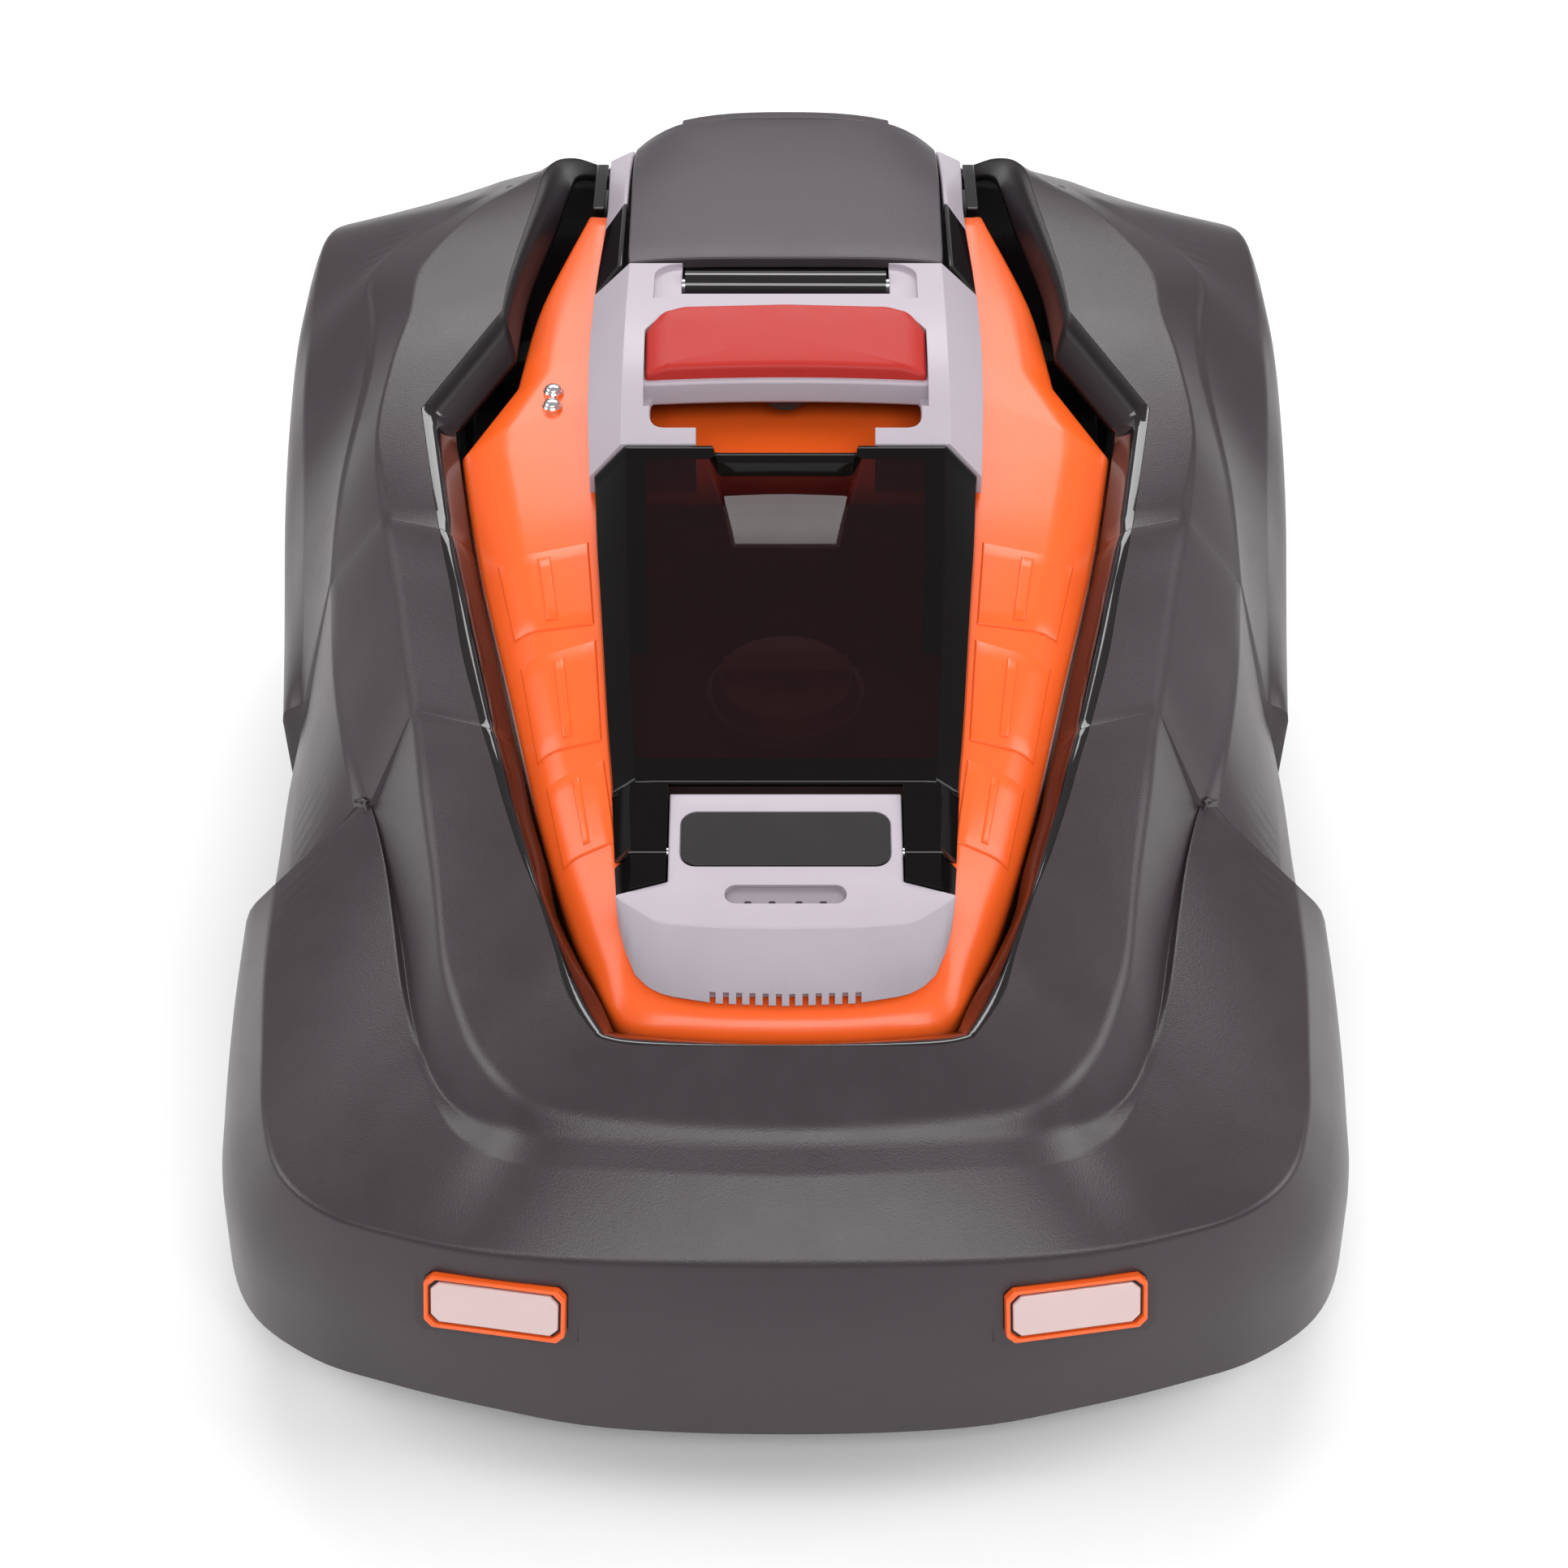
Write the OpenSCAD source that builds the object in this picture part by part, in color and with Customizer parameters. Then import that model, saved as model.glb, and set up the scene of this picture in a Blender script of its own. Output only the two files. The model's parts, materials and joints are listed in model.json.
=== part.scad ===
// Robotic lawn mower: a wheeled chassis under a fixed top cover, inside a floating outer shell.
// Frame: origin on the ground under the middle of the machine, +Z up, the nose points along -Y.
// "left" and "right" are the machine's own sides, so left is +X.

/* [Overall] */
// Thickness of the outer shell
shell_wall = 3; // [2:0.5:4]
// Thickness of the orange top cover
cover_wall = 2.5; // [2:0.5:3]
// Height of the cutting disc's underside at its highest setting
disc_z = 52; // [50:1:54]
// Steps between two neighbouring stations of a lofted surface
loft_steps = 2; // [1:1:3]

/* [Drive wheels] */
// Radius over the tread lugs
wheel_r = 105; // [100:1:108]
// Width of the tyre
wheel_w = 46; // [40:1:48]
// Number of tread lugs around the tyre
lug_count = 24; // [16:1:30]

/* [Casters] */
// Radius of a caster wheel
caster_r = 38; // [34:1:40]
// Width of a caster wheel
caster_w = 26; // [20:1:28]
// Distance that a caster wheel trails behind its swivel
caster_trail = 20; // [14:1:22]

/* [Cutter] */
// Radius of the cutting disc
disc_r = 74; // [68:1:78]
// Number of the pivoting blades
blade_count = 3; // [3:1:3]
// Travel of the cutter between its highest and its lowest setting
lift_travel = 27; // [20:1:28]

/* [Hidden] */
$fn = 48;

// Colours
c_shell = "#3f393f";
c_gloss = "#17141a";
c_orange = "#ff5a1f";
c_grey = "#b9b4bb";
c_black = "#242226";
c_steel = "#c8c8cc";
c_red = "#d9332f";

// ---------- shared functions ----------

function lerp(a, b, t) = a + (b - a) * t;
function mirror_x(p) = [-p[0], p[1], p[2]];
function reversed(v) = [for (i = [len(v) - 1 : -1 : 0]) v[i]];
function clamp(i, n) = max(0, min(n - 1, i));
function unit(v) = v / norm(v);

// Height of a polyline of [y, value] pairs at y, straight between its points
function along(line, y, i = 0) =
  y <= line[i + 1][0] || i == len(line) - 2
    ? lerp(line[i][1], line[i + 1][1], (y - line[i][0]) / (line[i + 1][0] - line[i][0]))
    : along(line, y, i + 1);

// A smooth curve through four points, at t from the second to the third
function smooth(a, b, c, d, t) =
  0.5 * (2 * b + (c - a) * t + (2 * a - 5 * b + 4 * c - d) * t * t + (3 * b - a - 3 * c + d) * t * t * t);

function listed(i, list) = len(search(i, list)) > 0;

// Adds steps between the rows of a grid, along a smooth curve in each column. breaks lists, for each
// column, the rows with a sharp corner, and its last list serves the columns that follow.
// twins are rows whose next row lies in almost the same place. ring joins the last row to the first.
function refine(rows, steps, breaks = [[]], ring = false, twins = []) =
  let (n = len(rows), last = ring ? n - 1 : n - 2)
  [
    for (i = [0 : last])
      for (s = [0 : steps - 1 + (!ring && i == last ? 1 : 0)])
        let (t = s / steps, i1 = (i + 1) % n)
        [for (j = [0 : len(rows[0]) - 1])
          let (sharp = breaks[min(j, len(breaks) - 1)],
               back = (i + n - (listed((i + n - 1) % n, twins) ? 2 : 1)) % n,
               ahead = (i1 + (listed(i1, twins) ? 2 : 1)) % n,
               before = listed(i, sharp) || (!ring && i == 0) ? i : back,
               after = listed(i1, sharp) || (!ring && i == last) ? i1 : ahead)
          listed(i, twins)
            ? lerp(rows[i][j], rows[i1][j], t)
            : smooth(rows[before][j], rows[i][j], rows[i1][j], rows[after][j], t)]
  ];

// Right-hand and left-hand rows of a grid that runs once around the machine
function around(rows) = [
  for (r = rows) r,
  for (i = [len(rows) - 2 : -1 : 1]) [for (p = rows[i]) mirror_x(p)]
];

// The corner rows of such a ring, on both sides
function corners_around(breaks, n) = [for (b = breaks) b, for (b = breaks) 2 * n - 2 - b];
// ---------- shared modules ----------

// A closed wall between two grids of the same size, the outer one and the inner one.
// ring closes the rows into a loop.
module wall(outer, inner, ring = false) {
  n = len(outer);
  m = len(outer[0]);
  last = ring ? n - 1 : n - 2;
  points = [for (r = outer) each r, for (r = inner) each r];
  function o(i, j) = (i % n) * m + j;
  function k(i, j) = n * m + (i % n) * m + j;
  faces = [
    for (i = [0 : last]) for (j = [0 : m - 2]) each [
      [o(i, j), o(i + 1, j), o(i + 1, j + 1)], [o(i, j), o(i + 1, j + 1), o(i, j + 1)],
      [k(i, j), k(i + 1, j + 1), k(i + 1, j)], [k(i, j), k(i, j + 1), k(i + 1, j + 1)]
    ],
    for (i = [0 : last]) each [
      [o(i, 0), k(i, 0), k(i + 1, 0)], [o(i, 0), k(i + 1, 0), o(i + 1, 0)],
      [o(i, m - 1), k(i + 1, m - 1), k(i, m - 1)], [o(i, m - 1), o(i + 1, m - 1), k(i + 1, m - 1)]
    ],
    if (!ring) each [for (j = [0 : m - 2]) each [
      [o(0, j), k(0, j + 1), k(0, j)], [o(0, j), o(0, j + 1), k(0, j + 1)],
      [o(n - 1, j), k(n - 1, j), k(n - 1, j + 1)], [o(n - 1, j), k(n - 1, j + 1), o(n - 1, j + 1)]
    ]]
  ];
  polyhedron(points, faces, convexity = 10);
}

// A solid skinned over closed sections with the same number of points
module loft(sections) {
  n = len(sections);
  m = len(sections[0]);
  points = [for (s = sections) each s];
  polyhedron(points, [
    for (i = [0 : n - 2]) for (j = [0 : m - 1]) each [
      [i * m + j, (i + 1) * m + (j + 1) % m, (i + 1) * m + j],
      [i * m + j, i * m + (j + 1) % m, (i + 1) * m + (j + 1) % m]
    ],
    [for (j = [m - 1 : -1 : 0]) j],
    [for (j = [0 : m - 1]) (n - 1) * m + j]
  ], convexity = 10);
}

// Joins faceted surfaces into one mesh
module one_mesh() {
  resize([0, 0, 0]) union() children();
}

// A cylinder along X, centred at [x, y, z]
module x_cylinder(c, r, h) {
  translate(c) rotate([0, 90, 0]) cylinder(r = r, h = h, center = true);
}

// A box between two corners
module box(a, b) {
  translate(a) cube(b - a);
}

// A side profile in [y, z], as wide as w along X
module side_profile(points, w) {
  rotate([90, 0, 90]) translate([0, 0, -w / 2]) linear_extrude(w) polygon(points);
}

// The same between two X positions
module side_profile_at(x0, x1, points) {
  translate([(x0 + x1) / 2, 0, 0]) side_profile(points, x1 - x0);
}

// A plate with rounded corners, standing on z = 0
module rounded_plate(w, d, h, r) {
  linear_extrude(h) {
    square([w - 2 * r, d], center = true);
    square([w, d - 2 * r], center = true);
    for (x = [-1, 1], y = [-1, 1]) translate([x * (w / 2 - r), y * (d / 2 - r)]) circle(r);
  }
}

// The same thing on both sides of the machine
module both_sides() {
  children();
  mirror([1, 0, 0]) children();
}

// ---------- outer shell ----------

// Stations of the shell on the left side, from the middle of the nose round to the middle of the
// tail. Each one has: the heading of its inward direction, how far the inner face of a step is
// shifted along Y, the gloss trim's own heading with how far it reaches in and drops, and seven
// points to the hem: opening edge, collar edge, foot of the collar, wing edge, shoulder crease,
// belt, hem.
stations = [
  [90, 0, [90, 10.4, 9.5], [[0, -234, 157], [0, -263, 145], [0, -267, 141], [0, -277, 135],
              [0, -301, 115], [0, -313, 80], [0, -315, 37]]],
  [87, 0, [90, 15.4, 9.5], [[52, -233.5, 157], [55, -260, 146], [57, -265, 141], [60, -274, 135],
              [64, -300, 115], [65, -310, 80], [66, -312, 37]]],
  [80, 0, [68.5, 14.6, 9.5], [[68.5, -229.5, 157], [88, -254, 147], [92, -260, 139], [97, -268, 133],
              [106, -296, 115], [110, -303, 82], [112, -302, 37]]],
  [64, 0, [29, 13.9, 9.5], [[80, -211, 160], [104, -243, 149], [110, -250, 134], [120, -250, 128],
              [140, -288, 116], [147, -293, 84], [149, -291, 37]]],
  [48, 0, [23.6, 10.3, 11], [[86, -191, 165], [115, -227, 150], [124, -236, 130], [133, -227, 130],
              [166, -279, 118], [175, -282, 86], [177, -280, 37]]],
  [32, 0, [17, 8.4, 13], [[93.5, -169, 172], [123, -207, 154], [134, -217, 132], [141, -204, 134],
              [184, -262, 120], [200, -263, 90], [202, -260, 37]]],
  [18, 0, [17, 9.9, 12], [[101, -150, 177], [129, -187, 159], [141, -194, 134], [147, -178, 138],
              [193, -236, 122], [213, -234, 92], [215, -232, 37]]],
  [8, 0, [17, 10.6, 12], [[108.5, -128, 184], [135, -150, 170], [148, -158, 137], [153, -145, 141],
             [198, -200, 124], [218, -194, 92], [220, -195, 37]]],
  [2, 0, [14, 11.8, 13], [[114, -110, 190], [142, -112, 182], [157, -122, 141], [159, -115, 145],
             [203, -155, 124], [221, -150, 96], [222, -152, 38]]],
  [0, -3, [14, 12.9, 13], [[118.8, -95, 194], [147, -80, 190], [165.5, -92, 148.2], [167, -87, 150.2],
              [206, -108, 122], [220, -111, 108], [222, -104, 38]]],
  [0, -3, [14, 12.9, 13], [[119, -94.5, 194], [147.2, -79.5, 190], [167.5, -91.7, 148.8], [173, -88, 147],
              [202, -104, 114], [212, -106, 101], [215, -99, 39]]],
  [0, 0, [13.8, 14, 12.3], [[128, -62, 203], [153, -48, 199], [178, -60, 161], [181, -58, 159],
             [205, -64, 114], [213, -66, 98], [216, -62, 40]]],
  [0, 0, [13.8, 12.8, 13.3], [[134, -33, 211], [158, -20, 208], [184, -28, 171], [187, -27, 168],
             [206, -28, 118], [214, -28, 98], [217, -27, 42]]],
  [0, 3, [10.5, 12.9, 15.2], [[141.5, 0, 221], [165, 12, 218], [189, 11, 186], [191, 12, 183],
             [205, 12, 126], [213, 12, 100], [216, 12, 45]]],
  [0, 3, [10.5, 12.9, 15.2], [[141.8, 0.8, 221], [165.2, 12.8, 218], [189.2, 11.8, 186],
             [191.5, 12.8, 183.5], [209, 13.5, 119], [218, 13.5, 115], [219, 14, 109]]],
  [-8, 0, [4, 13.5, 13], [[154, 68, 235], [172, 56, 230], [187, 54, 208], [190, 54, 205],
                [209, 52, 165], [221, 50, 130], [222, 52, 116]]],
  [-25, 0, [-29.4, 11.3, 14.8], [[138.5, 95, 242.5], [169, 96, 240], [180, 102, 228], [183.5, 101, 226],
                 [211, 92, 190], [222, 91, 169], [222, 92, 155]]],
  [-28, 0, [-62.7, 13.5, 16.7], [[123, 122, 250], [164, 128, 245.5], [180, 138, 235], [183.5, 136, 233.5],
                 [213, 129, 210], [222, 132, 194], [222, 132, 180]]],
  [-10, 0, [-7, 7, 14], [[121, 152, 252.5], [161, 163, 249], [182.5, 175, 240], [186, 173, 238.5],
                 [214, 171, 218], [221, 171, 211], [222, 171, 188]]],
  [-6, 0, [-6, 9, 14], [[113.5, 205, 257.5], [141.4, 202, 253], [152.5, 208, 247.5], [158.5, 210, 246],
                 [214, 222, 226], [218, 222, 216], [221, 214, 178]]],
  [-8, 0, [-8, 9, 12], [[109, 236, 258], [120.6, 231, 252.5], [133.3, 232, 247.5], [141.5, 231, 246],
                 [206, 252, 219], [213, 250, 206], [219, 245, 142]]],
  [-30, 0, [-30, 3, 8], [[99, 264, 247], [109, 268, 240], [128, 277, 230], [134, 279, 227],
                 [188, 281, 201], [200, 281, 188], [208, 270, 92]]],
  [-55, 0, [-55, 2, 5], [[80, 284, 230], [91, 289, 225], [105, 293, 220], [110, 294, 217],
                 [150, 301, 188], [160, 303, 175], [172, 298, 46]]],
  [-85, 0, [-85, 2, 5], [[45, 290, 225], [52, 294, 221], [58, 297, 218], [60, 298, 216],
                 [80, 309, 182], [85, 312, 170], [92, 312, 40]]],
  [-90, 0, [-90, 2, 5], [[0, 291, 224], [0, 295, 220], [0, 298, 217], [0, 299, 215],
                 [0, 311, 180], [0, 315, 168], [0, 315, 38]]]
];

// Sharp rows of the opening edge, the collar edge, the collar's foot and the columns outside them
opening_breaks = corners_around([2, 15, 17], len(stations));
shell_breaks = [opening_breaks, [], [], corners_around([9, 10, 13, 14], len(stations))];
shell_twins = [9, 13, 2 * len(stations) - 2 - 10, 2 * len(stations) - 2 - 14];

function heading(a) = [-cos(a), sin(a), 0];

// How the wall's inner face leans at each column: share inward, share down
lean = [[0, 1], [0.35, 0.94], [0.6, 0.8], [0.5, 0.86], [0.8, 0.6], [1, 0.1], [1, 0]];

shell_outside = refine(around([for (s = stations) s[3]]), loft_steps, shell_breaks, true, shell_twins);
shell_inside = refine(around([
  for (s = stations) [
    for (j = [0 : 6])
      s[3][j] + [0, j < 2 ? 0 : s[1], 0] + shell_wall * (lean[j][0] * heading(s[0]) - [0, 0, lean[j][1]])
  ]
]), loft_steps, shell_breaks, true, shell_twins);

// Face of the gloss trim and its back, hanging from the shell's opening
trim_face = refine(around([
  for (s = stations)
    let (e = heading(s[2][0]), w = s[2][1], d = s[2][2], c = s[3][0] + 0.3 * e)
    [c, c + 0.5 * w * e - [0, 0, 0.4 * d], c + w * e - [0, 0, d]]
]), loft_steps, [opening_breaks], true, shell_twins);
trim_back = refine(around([
  for (s = stations)
    let (e = heading(s[2][0]), w = s[2][1], d = s[2][2], c = s[3][0] + 0.3 * e)
    [c - [0, 0, 2], c + 0.45 * w * e - [0, 0, 2 + 0.45 * d], c + (w - 0.8) * e - [0, 0, d + 1.2]]
]), loft_steps, [opening_breaks], true, shell_twins);

// Puts its children at a reflector's place, facing out of the nose along -Y
module at_reflector() {
  translate([104, -300.4, 92.8]) rotate([0, 0, 9.5]) rotate([-15, 0, 0]) children();
}

// Outline of a reflector, with its cut corners
module reflector_plate(w, h, y0, y1) {
  translate([0, y1, 0]) rotate([90, 0, 0]) linear_extrude(y1 - y0)
    polygon([[-w / 2 + 3, -h / 2], [w / 2 - 3, -h / 2], [w / 2, -h / 2 + 3], [w / 2, h / 2 - 3],
             [w / 2 - 3, h / 2], [-w / 2 + 3, h / 2], [-w / 2, h / 2 - 3], [-w / 2, -h / 2 + 3]]);
}

// Places of the posts that the shell floats on, on one side: x, y, foot, top.
// Each foot sits in a cup of the chassis whose rim is 22 above the foot.
posts = [[127, -118, 112, 184], [125, 229, 146, 252.4]];

module outer_shell() {
  color(c_shell) one_mesh() {
    difference() {
      wall(shell_outside, shell_inside, true);
      both_sides() at_reflector() reflector_plate(52, 22, -8, 0);
    }
    both_sides() at_reflector() reflector_plate(60, 30, 0, 4);
    both_sides() for (p = posts) {
      translate([p[0], p[1], p[2] + 6]) cylinder(r = 4, h = p[3] - p[2] - 6);
      translate([p[0], p[1], p[2]]) cylinder(r = 6.5, h = 6);
    }
  }
}

// Rubber plates that slide on the cups' rims and let the posts slide through
module post_boots() {
  color(c_black) both_sides() for (p = posts) translate([p[0], p[1], p[2] + 22.1]) difference() {
    cylinder(r = 21.5, h = 3);
    translate([0, 0, -1]) cylinder(r = 4.06, h = 5);
  }
}

module shell_trim() {
  color(c_gloss) one_mesh() wall(trim_back, trim_face, true);
}

module reflector_frames() {
  color(c_orange) both_sides() at_reflector() difference() {
    reflector_plate(52, 22, -4, 0);
    reflector_plate(49, 19, -5, -2);
  }
}

module reflector_lenses() {
  color("#e9d8d8") both_sides() at_reflector() reflector_plate(47, 17, -3.6, -2);
}

// ---------- top cover ----------

// Stations of the orange cover, left side, nose to tail: heading, then lower edge drop and the
// points outer edge, shoulder, foot of the spine, inner rim
cover_stations = [
  [90, [[0, -218, 145], [0, -213, 151], [0, -205, 154], [0, -192, 156]]],
  [86, [[36, -216, 145], [34, -211, 151], [32, -203, 154], [28, -190, 156]]],
  [62, [[61, -210.5, 146], [56, -204, 153], [50, -196, 157], [40, -186, 160]]],
  [30, [[73, -189, 151], [68, -184, 160], [59, -181, 167], [48, -176, 168]]],
  [14, [[83, -166, 158], [77, -163, 168], [64, -162, 177], [54, -160, 177]]],
  [10, [[97, -120, 172], [88, -119, 183], [69, -118, 190], [59, -118, 190]]],
  [12, [[111, -64, 188], [99, -64, 199], [74, -64, 205], [64, -64, 205]]],
  [14, [[126, -3, 203], [111, -2, 214], [79, -1, 220], [69, -1, 220]]],
  [8, [[136.5, 53.5, 216.6], [119, 50, 224.4], [82, 38, 227.6], [72, 38, 227.6]]],
  [0, [[137, 57, 217.2], [119, 63, 227.2], [82, 80, 235.6], [72, 80, 235.6]]],
  [-30, [[116, 97, 226], [105, 98, 234], [83, 100, 238], [73, 100, 238]]],
  [-6, [[108, 150, 236], [100, 150, 240], [86, 150, 242], [76, 150, 242]]],
  [-4, [[90, 212, 244.5], [88, 210.5, 246], [85, 208, 247], [76, 208, 247]]]
];

// One half's rows, outside and inside, from tail to nose
cover_rows_out = [
  for (s = reversed(cover_stations))
    concat([s[1][0] - [0, 0, 18]], s[1])
];
cover_rows_in = [
  for (s = reversed(cover_stations)) [
    s[1][0] - [0, 0, 18] + cover_wall * heading(s[0]),
    s[1][0] + cover_wall * (heading(s[0]) - [0, 0, 0.6]),
    s[1][1] + cover_wall * (0.4 * heading(s[0]) - [0, 0, 1]),
    s[1][2] - [0, 0, cover_wall],
    s[1][3] - [0, 0, cover_wall]
  ]
];

// Both halves as one U-shaped run of rows, tail to nose to tail
function u_run(rows) = concat(
  rows, [for (i = [len(rows) - 2 : -1 : 0]) [for (p = rows[i]) mirror_x(p)]]
);
cover_breaks = [2, 3, 4, for (i = [2 : 4]) 2 * len(cover_stations) - 2 - i];

// Floor under the carrying handle, between the two flanks
floor_line = [[14, 222.5], [60, 231.5], [100, 237.5], [131, 240]];
floor_out = [for (p = floor_line) [[-68, p[0], p[1]], [0, p[0], p[1]], [68, p[0], p[1]]]];
floor_in = [for (r = floor_out) [for (q = r) q - [0, 0, cover_wall]]];

// Y and Z of the rain sensor's two domes
rain_places = [[73, 232.8], [82.3, 234.2]];

module orange_cover() {
  color(c_orange) one_mesh() {
    wall(floor_out, floor_in);
    difference() {
      wall(refine(u_run(cover_rows_out), loft_steps, [cover_breaks]),
           refine(u_run(cover_rows_in), loft_steps, [cover_breaks]));
      // holes for the rain sensor
      for (p = rain_places) translate([-99, p[0], 220]) cylinder(r = 4.3, h = 25);
    }
    // feet that stand on the turret
    both_sides() {
      translate([38, -190, 132.6]) cylinder(r = 4, h = 25);
      translate([80, 70, 221.1]) cylinder(r = 4, h = 11);
      translate([80, 190, 225.4]) cylinder(r = 4, h = 19);
    }
  }
}

// ---------- chassis ----------

// Outline of the cover's inside in plan, as a plain polygon
turret_plan = [[-46, -204], [46, -204], [60, -176], [72, -120], [84, -50], [92, 40], [84, 110],
               [84, 276], [-84, 276], [-84, 110], [-92, 40], [-84, -50], [-72, -120], [-60, -176]];

module turret(inset, floor_z) {
  intersection() {
    translate([0, 0, floor_z]) linear_extrude(200) offset(delta = -inset) polygon(turret_plan);
    translate([0, 0, -inset]) side_profile([[-204, 60], [-204, 122], [-176, 138], [-132, 146], [-128, 166],
      [14, 166], [20, 214], [100, 224], [272, 226], [276, 222], [276, 60]], 300);
  }
}

module chassis_tub() {
  color(c_black) one_mesh() difference() {
    union() {
      side_profile([[-226, 86], [-140, 86], [-128, 62], [280, 62], [280, 150], [40, 150],
                    [-20, 118], [-226, 118]], 292);
      turret(0, 100);
      // cups around the feet of the shell's posts
      both_sides() for (p = posts)
        translate([p[0], p[1], 60]) cylinder(r = 18.5, h = p[2] - 38);
      // ribs along the flanks
      for (y = [60, 100, 220]) box([-147.5, y, 70], [147.5, y + 4, 140]);
    }
    // inside of the body, open into the turret
    difference() {
      side_profile([[-223, 89], [-138, 89], [-126, 65], [277, 65], [277, 147], [41, 147],
                    [-19, 115], [-223, 115]], 286);
      // bosses for the casters
      both_sides() translate([115, -195, 60]) cylinder(r = 12, h = 60);
      // feet of the posts' cups
      both_sides() for (p = posts) translate([p[0], p[1], 60]) cylinder(r = 18.5, h = 200);
      // shelf along the nose for the contacts
      box([-60, -223, 86], [60, -205, 92]);
    }
    turret(3, 100);
    box([-68, -196, 100], [68, 270, 119]);
    // way through for the cutter motor
    translate([0, -63, 50]) cylinder(r = 34, h = 20);
    // casters' stems
    both_sides() translate([115, -195, 80]) {
      cylinder(r = 8, h = 32.2);
      cylinder(r = 6, h = 34.5);
    }
    // axles, with room for the gearboxes' noses
    both_sides() x_cylinder([148, 160, 105], 14, 20);
    // hole under the window well for the spindle
    translate([0, -50, 150]) cylinder(r = 48, h = 30);
    // seat of the control panel
    box([-58, 150, 200], [58, 258, 240]);
    // pockets for the charging contacts
    for (x = [-32, 32]) box([x - 9, -221, 80], [x + 9, -193, 88]);
    // post cups
    both_sides() for (p = posts) translate([p[0], p[1], p[2] - 3]) cylinder(r = 16.5, h = 40);
  }
}

// Puts its children on the nose's sloping top, x across and y towards the tail
module on_nose() {
  translate([0, -155, 188.2]) rotate([13.5, 0, 0]) children();
}

// Height of the nose's top along Y
function nose_z(y) = 188.2 + (y + 155) * 0.24;

// Left half of the nose block's outline, from its front middle to its rear corner: top, then foot
nose_top = [[0, -194.2], [26, -193.7], [43, -192.4], [49, -190.9], [57, -185.4], [63.4, -180.4],
            [62.6, -179.6], [44, -174.1], [44, -134.7]];
nose_foot = [[0, -210.8, 154.2], [26, -209.6, 154.4], [42, -206.6, 155], [49.5, -203.8, 156],
             [55.8, -199, 158.6], [62.2, -183, 166.4], [62, -180, 168], [44, -174.1, 170],
             [44, -134.7, 178]];

// Rails under the window's edges, front to back: y, inner face, underside, top
rail_sections = [[-139, 53, 183.9, 185.5], [-132, 54.6, 185.7, 187.4], [-118, 60, 190.4, 192.3],
                 [-64, 65, 205.3, 207.3], [-1, 70, 220.3, 222.3], [22, 72, 225.6, 227.6]];

// Closes a half outline that starts on the middle line
function closed(half) = concat(half, [for (i = [len(half) - 1 : -1 : 1]) mirror_x(half[i])]);

// Underside, top and half-width of the handle's cheeks along Y
cheek_sections = [[19, 225.4, 249.5, 81], [42, 229.6, 262, 82], [62, 233, 268, 82.5],
                  [88, 237, 270, 83], [129.5, 241.8, 269, 83]];

module centre_frame() {
  color(c_grey) one_mesh() {
    difference() {
      loft([closed([for (p = nose_top) [p[0], p[1], nose_z(p[1])]]), closed(nose_foot)]);
      both_sides() x_cylinder([49.25, window_axis[1], window_axis[2]], 2, 17.5);
      // bed of the badge plate
      on_nose() translate([0, -0.4, -1.4]) rounded_plate(79.6, 25.4, 6, 6.5);
      // status light's slot
      on_nose() translate([0, -25.4, -2]) rounded_plate(45.4, 8.4, 8, 4.1);
      // sound slots along the foot of the nose
      for (i = [-5.5 : 5.5]) box([i * 4.9 - 1.1, -216, 152], [i * 4.9 + 1.1, -206.5, 158.2]);
    }
    // rails under the window's edges, and their feet in the nose
    both_sides() box([40, -140, 183.9], [56, -134.8, 185.5]);
    both_sides() loft([for (s = rail_sections)
      [[s[1], s[0], s[2]], [s[1] + 3, s[0], s[2]], [s[1] + 3, s[0], s[3]], [s[1], s[0], s[3]]]]);
    // handle: two cheeks and the grip between them, with the button's pocket
    difference() {
      union() {
        both_sides() loft([for (s = cheek_sections) [
          [58, s[0], s[1]], [s[3], s[0], s[1]], [s[3], s[0], s[2] - 16], [67.5, s[0], s[2]],
          [58, s[0], s[2]]
        ]]);
        side_profile([[45, 250.6], [48, 250], [92, 250], [102, 256], [102, 268], [98, 270], [74, 270],
                      [72, 261], [45, 261]], 117);
      }
      translate([0, 0, pocket_z]) linear_extrude(40) offset(delta = 0.4) polygon(button_plan);
      translate([0, 0, 240]) linear_extrude(40)
        polygon(concat([for (p = button_front) p - [0, 2.7]], [[58, 40], [-58, 40]]));
      translate([0, 62, 240]) cylinder(r = 9.2, h = 40);
    }
    // lips in front of the grip, and blocks beside the lid's hinge
    both_sides() {
      side_profile_at(36, 59, [[18.6, 244], [24, 244.5], [24, 251], [18.6, 249]]);
      difference() {
        side_profile_at(44.5, 59, [[96, 250], [129.5, 250], [129.5, 269], [96, 270]]);
        x_cylinder(lid_axis, 3.02, 200);
      }
    }
    rear_frame();
  }
}

module badge_plate() {
  color(c_black) on_nose() translate([0, -0.4, -1.4]) rounded_plate(78.6, 24.4, 1.8, 6);
}

module status_light() {
  color(c_black) on_nose() translate([0, -25.4, -2]) difference() {
    rounded_plate(44.8, 7.8, 1.6, 3.8);
    for (x = [-12, -4, 4, 12]) translate([x, 0, 1]) cylinder(r = 1, h = 3);
  }
}

// Frame beside the lid, along Y: y, underside, top of its inner edge, half-width, top of its outer edge
rear_sections = [[131.5, 242.2, 266.8, 83, 252.5], [150, 243, 267, 82.5, 253], [187, 246.6, 266.4, 81, 253],
                 [208, 248.3, 265, 80.5, 252], [240, 243, 258.6, 81.8, 248.5], [266, 236, 249.5, 82.4, 244.5]];

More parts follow.
